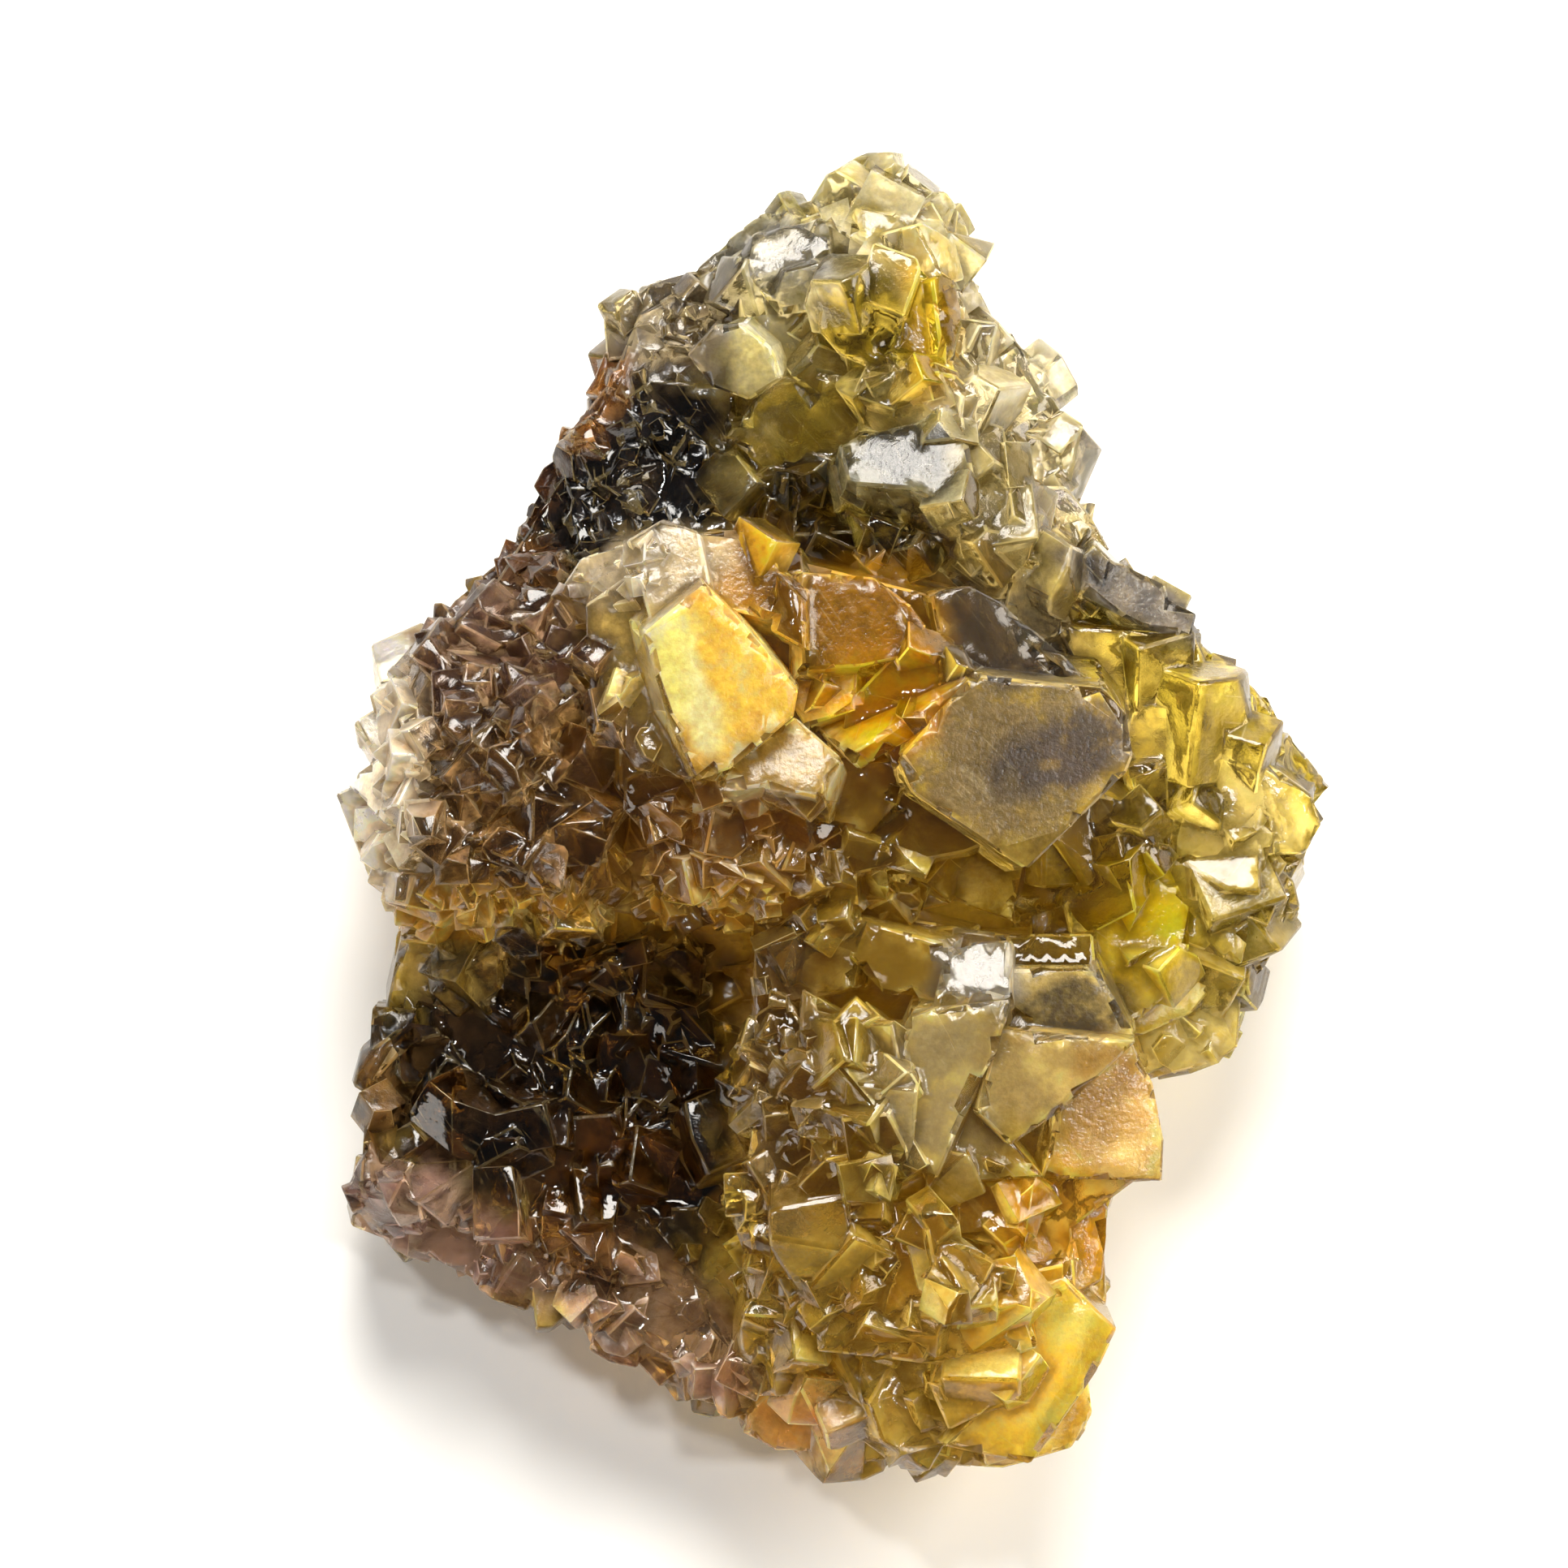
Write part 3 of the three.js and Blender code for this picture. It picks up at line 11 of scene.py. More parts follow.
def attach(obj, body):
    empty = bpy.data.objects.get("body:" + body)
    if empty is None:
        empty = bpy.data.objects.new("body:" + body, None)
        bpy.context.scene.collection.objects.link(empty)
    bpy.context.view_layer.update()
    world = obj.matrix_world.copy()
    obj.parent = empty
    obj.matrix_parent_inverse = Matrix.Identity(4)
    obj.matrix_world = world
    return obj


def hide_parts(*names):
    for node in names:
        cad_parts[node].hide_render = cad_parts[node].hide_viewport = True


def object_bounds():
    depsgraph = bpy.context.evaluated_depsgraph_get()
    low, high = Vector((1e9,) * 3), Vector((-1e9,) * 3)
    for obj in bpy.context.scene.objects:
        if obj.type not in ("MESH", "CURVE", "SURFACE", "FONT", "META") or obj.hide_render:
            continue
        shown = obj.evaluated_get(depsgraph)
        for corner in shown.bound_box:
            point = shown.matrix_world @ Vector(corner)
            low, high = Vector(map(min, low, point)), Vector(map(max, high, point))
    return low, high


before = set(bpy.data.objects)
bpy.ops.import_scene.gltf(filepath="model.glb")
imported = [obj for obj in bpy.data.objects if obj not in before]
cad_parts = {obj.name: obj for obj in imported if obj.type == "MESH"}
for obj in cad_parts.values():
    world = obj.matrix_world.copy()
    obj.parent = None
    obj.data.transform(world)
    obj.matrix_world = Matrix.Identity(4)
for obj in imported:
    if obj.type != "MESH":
        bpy.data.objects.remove(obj)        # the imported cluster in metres, +Z up, lying on its flat foot
cadLow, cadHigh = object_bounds()
mm = 0.001
scene = bpy.context.scene
up = Vector((0, 0, 1))


# Shared helpers

def linear(hexColour):
    # sRGB hex to the linear colour that the shaders take
    channels = [int(hexColour[i:i + 2], 16) / 255 for i in (1, 3, 5)]
    return [c / 12.92 if c <= 0.04045 else ((c + 0.055) / 1.055) ** 2.4 for c in channels] + [1.0]


def addNode(tree, kind, settings=None, links=None):
    node = tree.nodes.new(kind)
    for name, value in (settings or {}).items():
        setattr(node, name, value)
    for socket, value in (links or {}).items():
        if isinstance(value, bpy.types.NodeSocket):
            tree.links.new(value, node.inputs[socket])
        else:
            node.inputs[socket].default_value = value
    return node


def newObject(name, bm):
    mesh = bpy.data.meshes.new(name)
    bm.to_mesh(mesh)
    bm.free()
    made = bpy.data.objects.new(name, mesh)
    scene.collection.objects.link(made)
    return made


# Camera and studio

cameraSettings = {
    "over": (-3.15 * mm, 2.1 * mm),   # the point that it looks straight down at
    "height": 812 * mm,               # above the floor, about 800 mm from the crystals
    "frameWidth": 96.6 * mm,          # what the frame takes in at the crystals
    "crystalHeight": 12 * mm,
    "sensor": 36.0,
}


def makeCamera(s):
    data = bpy.data.cameras.new("camera")
    data.sensor_width = s["sensor"]
    data.lens = s["sensor"] * (s["height"] - s["crystalHeight"]) / s["frameWidth"]
    data.clip_start, data.clip_end = 0.01, 10
    camera = bpy.data.objects.new("camera", data)
    camera.location = (*s["over"], s["height"])
    scene.collection.objects.link(camera)
    scene.camera = camera


studioSettings = {
    "floorColour": "#F4F3F0",
    "floorDrop": 0.3 * mm,            # the floor lies this far under the foot, so the two don't fight
    "floorSize": 6.0,
    "world": ("#FFFFFF", 0.11),
    "lamps": {                        # direction to the lamp, distance, size, watts, colour
        "keyWindow": ((0.02, 0.70, 0.72), 0.6, 0.33, 7.0, "#FFFBF4"),
        "rightWindow": ((0.85, 0.35, 0.55), 0.7, 0.4, 5.2, "#FFF6E8"),
        "lowLeft": ((-0.8, -0.5, 0.35), 0.8, 0.4, 2.4, "#FFFAF2"),
        "sparkLeft": ((-0.45, 0.35, 0.85), 0.7, 0.05, 1.1, "#FFFFFF"),
        "sparkRight": ((0.5, -0.1, 0.8), 0.7, 0.05, 1.1, "#FFFFFF"),
    },
}


def makeStudio(s):
    bm = bmesh.new()
    bmesh.ops.create_grid(bm, x_segments=1, y_segments=1, size=s["floorSize"] / 2)
    bmesh.ops.translate(bm, verts=bm.verts, vec=(0, 0, -s["floorDrop"]))
    floor = newObject("floor", bm)
    paint = bpy.data.materials.new("palePaper")     # matt white paper
    paint.use_nodes = True
    shader = paint.node_tree.nodes["Principled BSDF"]
    shader.inputs["Base Color"].default_value = linear(s["floorColour"])
    shader.inputs["Roughness"].default_value = 0.9
    floor.data.materials.append(paint)
    world = bpy.data.worlds.new("studio")
    world.use_nodes = True
    world.node_tree.nodes["Background"].inputs["Color"].default_value = linear(s["world"][0])
    world.node_tree.nodes["Background"].inputs["Strength"].default_value = s["world"][1]
    scene.world = world
    for name, (towards, distance, size, watts, colour) in s["lamps"].items():
        data = bpy.data.lights.new(name, "AREA")
        data.shape, data.size, data.energy = "DISK", size, watts
        data.color = linear(colour)[:3]
        lamp = bpy.data.objects.new(name, data)
        lamp.location = Vector(towards).normalized() * distance
        lamp.rotation_mode = "QUATERNION"
        lamp.rotation_quaternion = (-lamp.location).to_track_quat("-Z", "Y")
        scene.collection.objects.link(lamp)
    scene.view_settings.view_transform = "Standard"
    scene.view_settings.look = "None"
    scene.cycles.max_bounces = 16
    scene.cycles.transmission_bounces = 14
    scene.cycles.transparent_max_bounces = 0     # nothing here is transparent without refraction
    scene.cycles.caustics_reflective = False
    scene.cycles.use_light_tree = False


makeCamera(cameraSettings)
makeStudio(studioSettings)
print("camera and studio made")


# The cluster's own mesh

clusterSettings = {
    "flat": math.radians(0.3),        # faces closer to one plane than this are one crystal face
    "bevel": 0.16 * mm,               # width of the worn edges
    "bevelAngle": math.radians(28),
    "shortEdge": 0.4 * mm,            # edges up to this stay sharp
    "grain": 1.1 * mm,                # longest mesh edge on what shows from above
    "undersideGrain": 2.4 * mm,
    "undersideHeight": 4 * mm,
    "borderGrain": 1.5,               # an edge between two crystal faces may be this much longer
    "passes": 7,                      # times that the long edges are split
    "sliver": 0.01,                   # triangles thinner than this aren't split
    "sameFacet": 0.9998,              # cosine between the triangles of one crystal face
    "sharp": math.radians(24),
}


def mergedCopy(node, s):
    bm = bmesh.new()
    bm.from_mesh(node.data)
    bmesh.ops.remove_doubles(bm, verts=bm.verts, dist=0.001 * mm)
    bmesh.ops.dissolve_limit(bm, angle_limit=s["flat"], verts=bm.verts, edges=bm.edges)
    return bm


def wearEdges(bm, s):
    worn = [e for e in bm.edges if e.is_manifold and e.is_convex
            and e.calc_face_angle() > s["bevelAngle"] and e.calc_length() > s["shortEdge"]]
    bmesh.ops.bevel(bm, geom=worn, affect="EDGES", offset=s["bevel"], offset_type="OFFSET", segments=1,
                    profile=0.5, material=-1, clamp_overlap=False, loop_slide=True)


# Nicks in the outer edges of the big crystals

nickSettings = {
    "edgeLength": 1.8,                # shortest edge with nicks along it, in millimetres
    "spacing": 1.15,
    "edge": (0.5, 1.7),
    "shrink": (0.3, 1.2),             # share of its edge that a nick keeps, 1 at most
    "stretch": (1, 2.2),              # along the crystal's edge
    "out": (0.26, 0.42),              # how far its middle stands off the edge, as a share of its own edge
    "swing": 0.5,                     # radians to either side
    "edgeAngle": 0.5,                 # radians between the two faces, at least
    "chips": 3,
    "wild": 0.8,
    "seed": 2,
}


def edgeNicks(bm, s):
    # Chips to cut from the outer edges
    dice = random.Random(s["seed"])
    nicks = []
    for e in bm.edges:
        length = e.calc_length() / mm
        outward = e.link_faces[0].normal + e.link_faces[1].normal
        if not e.is_convex or length < s["edgeLength"] or e.calc_face_angle() < s["edgeAngle"] \
                or outward.z < 0:
            continue
        for i in range(round(length / s["spacing"])):
            edge = dice.uniform(*s["edge"]) * mm * min(1, dice.uniform(*s["shrink"]))
            edges = (edge * dice.uniform(*s["stretch"]), edge, edge)
            chip = smallCrystal(edges, s["chips"], s["wild"], 0, dice)
            out = outward.normalized() * edge * dice.uniform(*s["out"])
            middle = e.verts[0].co.lerp(e.verts[1].co, dice.uniform(0.02, 0.98)) + out
            along = (e.verts[1].co - e.verts[0].co).normalized()
            roll = Quaternion((1, 0, 0), dice.uniform(0, math.pi))
            turn = Vector((1, 0, 0)).rotation_difference(along) @ roll
            turn = Quaternion((0, 0, 1), dice.uniform(-s["swing"], s["swing"])) @ turn
            bmesh.ops.transform(chip, matrix=Matrix.Translation(middle) @ turn.to_matrix().to_4x4(),
                                verts=chip.verts)
            nicks.append((chip, middle, 0.5 * Vector(edges).length))
    return nicks


# Small crystals that stand on the big ones

crystalSettings = {
    "chipReach": (0.5, 0.85),    # how far out a corner is cleaved, as a share of the half width there
    "worn": 0.04,                # width of the worn edges, as a share of the crystal's edge
    "length": (0.75, 1.3),       # in crystal edges
    "height": (0.8, 1.2),
}


def smallCrystal(edges, chips, wild, bevel, dice):
    # A block with some of its corners cleaved off, centred on the origin, broken at odd angles if wild
    bm = bmesh.new()
    bmesh.ops.create_cube(bm, size=1)
    bmesh.ops.scale(bm, vec=edges, verts=bm.verts)
    for i in range(chips):
        corner = Vector([dice.choice((-1, 1)) for axis in range(3)]).normalized()
        away = Vector([dice.gauss(0, 1) for axis in range(3)]).normalized()
        normal = corner.lerp(away, wild).normalized()
        reach = sum(abs(n) * e / 2 for n, e in zip(normal, edges))
        reach *= dice.uniform(*crystalSettings["chipReach"])
        cut = bmesh.ops.bisect_plane(bm, geom=bm.verts[:] + bm.edges[:] + bm.faces[:], clear_outer=True,
                                     plane_co=normal * reach, plane_no=normal)
        rim = [g for g in cut["geom_cut"] if isinstance(g, bmesh.types.BMEdge)]
        if rim:
            bmesh.ops.contextual_create(bm, geom=rim)
    if bevel > 0:
        bmesh.ops.bevel(bm, geom=bm.edges[:], affect="EDGES", offset=bevel, offset_type="OFFSET",
                        segments=1, profile=0.5, material=-1, clamp_overlap=True, loop_slide=True)
    bmesh.ops.recalc_face_normals(bm, faces=bm.faces)
    return bm


# Where small crystals stand: middle, radii and turn of an ellipse seen from above, how many, their edges,
# how far they lean, how deep they are sunk, how flat and how broken they are
cubes = {"chips": (1, 3), "wild": 0.35}
shards = {"chips": (2, 5), "wild": 0.8}
lumps = {"chips": (4, 6), "wild": 0.5}
sowing = {
    "lobeDruse": {"at": (-19.8, 2.6), "radii": (8.6, 10.4), "turn": 0, "count": 150, "edge": (1.2, 3.2),
                  "lean": 0.8, "sink": 0.25, "flat": 0.8, "seed": 3, **shards},
    "lobeFringe": {"at": (-20.5, -5.2), "radii": (7.6, 2.6), "turn": 0, "count": 56, "edge": (1.0, 2.2),
                   "lean": 0.9, "sink": 0.1, "flat": 0.9, "seed": 4, **shards},
    "crownEast": {"at": (10.5, 26), "radii": (4.5, 13), "turn": 0.35, "count": 36, "edge": (1.6, 4.4),
                  "lean": 0.8, "sink": 0.42, "flat": 0.85, "seed": 5, **cubes},
    "crownTop": {"at": (1, 33), "radii": (9, 8), "turn": 0, "count": 20, "edge": (1.6, 4.0),
                 "lean": 0.8, "sink": 0.42, "flat": 0.85, "seed": 6, **cubes},
    "ironSlope": {"at": (-12.5, 21.5), "radii": (5.4, 11), "turn": -0.45, "count": 120, "edge": (0.6, 1.6),
                  "lean": 0.7, "sink": 0.42, "flat": 0.9, "seed": 7, **lumps},
    "hollow": {"at": (-17, -15.5), "radii": (11.5, 9.5), "turn": 0, "count": 66, "edge": (1.8, 5.4),
               "lean": 0.8, "sink": 0.38, "flat": 0.6, "seed": 8, **shards},
    "violetLedge": {"at": (-17, -28.5), "radii": (13, 3.6), "turn": -0.5, "count": 56, "edge": (1.2, 3.4),
                    "lean": 0.6, "sink": 0.38, "flat": 0.6, "seed": 9, **shards},
    "terraceWest": {"at": (-3.4, -20), "radii": (2.6, 15), "turn": 0, "count": 60, "edge": (1.2, 2.8),
                    "lean": 0.8, "sink": 0.34, "flat": 0.8, "seed": 10, **shards},
    "terraceSouth": {"at": (5, -31), "radii": (10, 8.6), "turn": 0, "count": 52, "edge": (1.8, 5.0),
                     "lean": 0.8, "sink": 0.42, "flat": 0.9, "seed": 11, **shards},
    "terraceStep": {"at": (6, -23), "radii": (8, 2.6), "turn": 0, "count": 26, "edge": (1.2, 3.2),
                    "lean": 0.8, "sink": 0.38, "flat": 0.8, "seed": 12, **shards},
    "goldFringe": {"at": (-6.8, -4.6), "radii": (5.4, 1.8), "turn": 0.1, "count": 40, "edge": (0.8, 1.9),
                   "lean": 0.8, "sink": 0.15, "flat": 0.8, "seed": 13, **shards},
    "underCentre": {"at": (1.5, -4.5), "radii": (5, 2.6), "turn": 0.2, "count": 26, "edge": (1.0, 2.8),
                    "lean": 0.8, "sink": 0.34, "flat": 0.8, "seed": 14, **shards},
    "eastFlank": {"at": (21.5, 1), "radii": (8, 13), "turn": 0.3, "count": 32, "edge": (2.0, 5.4),
                  "lean": 0.8, "sink": 0.42, "flat": 0.9, "seed": 15, **cubes},
    "valley": {"at": (1, 18), "radii": (10, 3), "turn": -0.1, "count": 28, "edge": (1.4, 3.8),
               "lean": 0.7, "sink": 0.4, "flat": 0.8, "seed": 16, **cubes},
    "smokyKnobs": {"at": (-6, -0.8), "radii": (6, 3.2), "turn": 0, "count": 30, "edge": (1.4, 3.4),
                   "lean": 0.8, "sink": 0.3, "flat": 0.8, "seed": 18, **shards},
    "terraceSlot": {"at": (1.2, -17), "radii": (2.2, 6), "turn": 0, "count": 18, "edge": (2.6, 4.6),
                    "lean": 0.8, "sink": 0.2, "flat": 0.9, "seed": 19, **shards},
    "amberTrough": {"at": (3, 8), "radii": (4.5, 3.4), "turn": 0, "count": 8, "edge": (1.0, 2.6),
                    "lean": 0.8, "sink": 0.4, "flat": 0.8, "seed": 17, **shards},
}
flankSowing = {"count": 210, "edge": (0.9, 2.6), "lean": 0.8, "sink": 0.4, "flat": 0.8, "seed": 30,
               "heights": (2.5, 15), "from": 80, "middle": (12, 28), "clearAbove": 6, **shards}
undersideSowing = {"count": 280, "lowest": 1.6, "over": (29, 39), "slope": -0.15, "edge": (1.6, 4.4),
                   "lean": 0.6, "sink": 0.38, "flat": 0.6, "seed": 31, **shards}


def placeCrystal(spot, out, s, dice):
    edge = dice.uniform(*s["edge"]) * mm
    long, high = (dice.uniform(*crystalSettings[name]) for name in ("length", "height"))
    edges = (edge * long, edge, edge * s["flat"] * high)
    chips = dice.randint(*s["chips"])
    bm = smallCrystal(edges, chips, s["wild"], crystalSettings["worn"] * edge, dice)
    lean = Quaternion((1, 0, 0), dice.uniform(-1, 1) * s["lean"])
    lean = lean @ Quaternion((0, 1, 0), dice.uniform(-1, 1) * s["lean"])
    turn = up.rotation_difference(out) @ lean @ Quaternion((0, 0, 1), dice.uniform(0, math.pi))
    middle = spot - out * s["sink"] * edges[2]
    bmesh.ops.transform(bm, matrix=Matrix.Translation(middle) @ turn.to_matrix().to_4x4(), verts=bm.verts)
    reach = 0.5 * Vector(edges).length
    return bm, middle, reach


# main faces that stay clear of small crystals: middle, radii and turn
clearFaces = {
    "greatGreyFace": ((11.2, 3.8), (7.4, 6.0), 0),
    "sunBlade": ((-6.4, 8), (3.8, 6.2), 0.35),
    "amberRound": ((1.8, 12.2), (3.6, 2.8), 0),
    "greyBehind": ((10.6, 11.2), (4.4, 2.4), -0.5),
    "phantom": ((6.4, -16), (3.2, 5), 0),
    "paleFace": ((13, -15), (4.4, 3), 0),
    "peachFace": ((17, -18), (2.6, 3.6), 0),
    "mirrorFace": ((4.2, 21.6), (3.6, 2), 0),
    "flashCrystal": ((-3.4, 3), (3, 2), 0),
    "silverShelf": ((-3.4, 34.4), (3.2, 1.8), 0.1),
    "lemonNub": ((-6, 28), (2.8, 2.6), 0),
    "goldPlate": ((5.6, 30), (1.6, 3.6), 0),
    "oliveCube": ((1.8, 30), (2.4, 2.6), 0),
    "amberCorner": ((13.4, -33), (3, 4), 0),
}


def isClear(spot):
    for (x, y), (rx, ry), turn in clearFaces.values():
        dx, dy = spot.x / mm - x, spot.y / mm - y
        along, across = dx * math.cos(turn) + dy * math.sin(turn), dy * math.cos(turn) - dx * math.sin(turn)
        if (along / rx) ** 2 + (across / ry) ** 2 < 1:
            return True
    return False


def sow(tree, s):
    # Crystals on whatever the ellipse meets from above
    dice = random.Random(s["seed"])
    made = []
    for i in range(s["count"]):
        angle, share = dice.uniform(0, 2 * math.pi), math.sqrt(dice.random())
        x, y = s["radii"][0] * share * math.cos(angle), s["radii"][1] * share * math.sin(angle)
        turnCos, turnSin = math.cos(s["turn"]), math.sin(s["turn"])
        right, ahead = x * turnCos - y * turnSin, x * turnSin + y * turnCos
        spot = Vector((s["at"][0] + right, s["at"][1] + ahead, 60)) * mm
        hit, normal, index, distance = tree.ray_cast(spot, -up)
        if hit is not None and not isClear(hit):
            made.append(placeCrystal(hit, normal, s, dice))
    return made


def sowFlanks(tree, s):
    # Crystals on the flanks, met from outside at any height
    dice = random.Random(s["seed"])
    made = []
    while len(made) < s["count"]:
        angle = dice.uniform(0, 2 * math.pi)
        outside = Vector((s["from"] * math.cos(angle), s["from"] * math.sin(angle),
                          dice.uniform(*s["heights"]))) * mm
        inside = Vector([dice.uniform(-m, m) for m in s["middle"]] + [outside.z / mm]) * mm
        hit, normal, index, distance = tree.ray_cast(outside, (inside - outside).normalized())
        if hit is None or hit.z > s["clearAbove"] * mm and isClear(hit):
            continue
        made.append(placeCrystal(hit, normal, s, dice))
    return made


def sowUnderside(tree, s):
    # Broken blocks on the back, clear of the flat foot
    dice = random.Random(s["seed"])
    made = []
    for i in range(s["count"]):
        spot = Vector([dice.uniform(-m, m) for m in s["over"]] + [-10]) * mm
        hit, normal, index, distance = tree.ray_cast(spot, up)
        if hit is None or hit.z < s["lowest"] * mm or normal.z > s["slope"]:
            continue
        made.append(placeCrystal(hit, normal, s, dice))
    return made


def inBatches(made):
    # Crystals of one batch don't touch each other, so each batch is a clean solid
    batches = []
    for bm, middle, reach in made:
        for batch in batches:
            if all((middle - other).length > reach + otherReach for _, other, otherReach in batch):
                batch.append((bm, middle, reach))
                break
        else:
            batches.append([(bm, middle, reach)])
    return batches


def combine(body, made, operation):
    # Joins blocks to the body or cuts them from it, a batch at a time
    tools = []
    for batch in inBatches(made):
        together = bmesh.new()
        for block, middle, reach in batch:
            part = bpy.data.meshes.new("part")
            block.to_mesh(part)
            block.free()
            together.from_mesh(part)
            bpy.data.meshes.remove(part)
        tool = newObject("batch", together)
        tools.append(tool)
        join = body.modifiers.new("join", "BOOLEAN")
        join.operation, join.solver, join.object = operation, "MANIFOLD", tool
    graph = bpy.context.evaluated_depsgraph_get()
    joined = bpy.data.meshes.new_from_object(body.evaluated_get(graph))
    print(operation.lower(), len(made), "blocks in", len(tools), "batches,", len(joined.polygons), "faces")
    body.modifiers.clear()
    body.data = joined
    for tool in tools:
        bpy.data.objects.remove(tool)


def untangle(bm):
    # Where two faces were cut along the same diagonal, one pair of triangles takes the other diagonal
    for edge in [e for e in bm.edges if len(e.link_faces) > 2]:
        loops = edge.link_loops
        pairs = [(one.face.normal.dot(other.face.normal), i, one, other)
                 for i, one in enumerate(loops) for other in loops if one.vert != other.vert]
        flatness, i, one, other = max(pairs, key=lambda p: p[0])
        a, b, c, d = one.vert, other.vert, one.link_loop_prev.vert, other.link_loop_prev.vert
        if c == d or bm.faces.get((c, a, d)) or bm.faces.get((d, b, c)) or bm.edges.get((c, d)):
            continue
        old = one.face
        for corner in ((c, a, d), (d, b, c)):
            bm.faces.new(corner, old)
        bmesh.ops.delete(bm, geom=[old, other.face], context="FACES_ONLY")
    bm.normal_update()


def refine(bm, s):
    # Numbers the crystal faces, then splits long edges, so that the attributes have points to sit on
    facet = bm.faces.layers.int.new("facet")
    bm.faces.ensure_lookup_table()
    seen = set()
    number = 0
    for start in bm.faces:
        if start.index in seen:
            continue
        number += 1
        front = [start]
        seen.add(start.index)
        while front:
            face = front.pop()
            face[facet] = number
            for edge in face.edges:
                for other in edge.link_faces:
                    if other.index not in seen and other.normal.dot(start.normal) > s["sameFacet"]:
                        seen.add(other.index)
                        front.append(other)
    bmesh.ops.triangulate(bm, faces=bm.faces)
    for step in range(s["passes"]):
        untangle(bm)
        long = []
        for edge in bm.edges:
            length = edge.calc_length()
            thinnest = min(f.calc_area() for f in edge.link_faces)
            if length < s["grain"] or thinnest < s["sliver"] * length ** 2:
                continue
            low = (edge.verts[0].co.z + edge.verts[1].co.z) / 2 < s["undersideHeight"]
            inside = edge.link_faces[0][facet] == edge.link_faces[1][facet]
            if length > (s["undersideGrain"] if low else s["grain"] * (1 if inside else s["borderGrain"])):
                long.append(edge)
        bmesh.ops.subdivide_edges(bm, edges=long, cuts=1)
        bmesh.ops.triangulate(bm, faces=[f for f in bm.faces if len(f.verts) > 3])
    untangle(bm)
    odd = sum(len(e.link_faces) != 2 for e in bm.edges)
    print("refined to", len(bm.faces), "triangles,", number, "facets,", odd, "odd edges")
    return bm


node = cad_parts["fluorite_cluster"]
bm = mergedCopy(node, clusterSettings)
bare = BVHTree.FromBMesh(bm)
nicks = edgeNicks(bm, nickSettings)
wearEdges(bm, clusterSettings)
body = newObject("body", bm)
combine(body, nicks, "DIFFERENCE")
small = []
for name, s in sowing.items():
    small += sow(bare, s)
small += sowFlanks(bare, flankSowing) + sowUnderside(bare, undersideSowing)
combine(body, small, "UNION")
bm = bmesh.new()
bm.from_mesh(body.data)
bpy.data.objects.remove(body)
bm = refine(bm, clusterSettings)
for vert in bm.verts:
    vert.co = [min(max(c, low), high) for c, low, high in zip(vert.co, cadLow, cadHigh)]
cluster = newObject("fluoriteCluster", bm)
cluster.data.set_sharp_from_angle(angle=clusterSettings["sharp"])
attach(cluster, "root")
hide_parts("fluorite_cluster")
print("cluster mesh made")


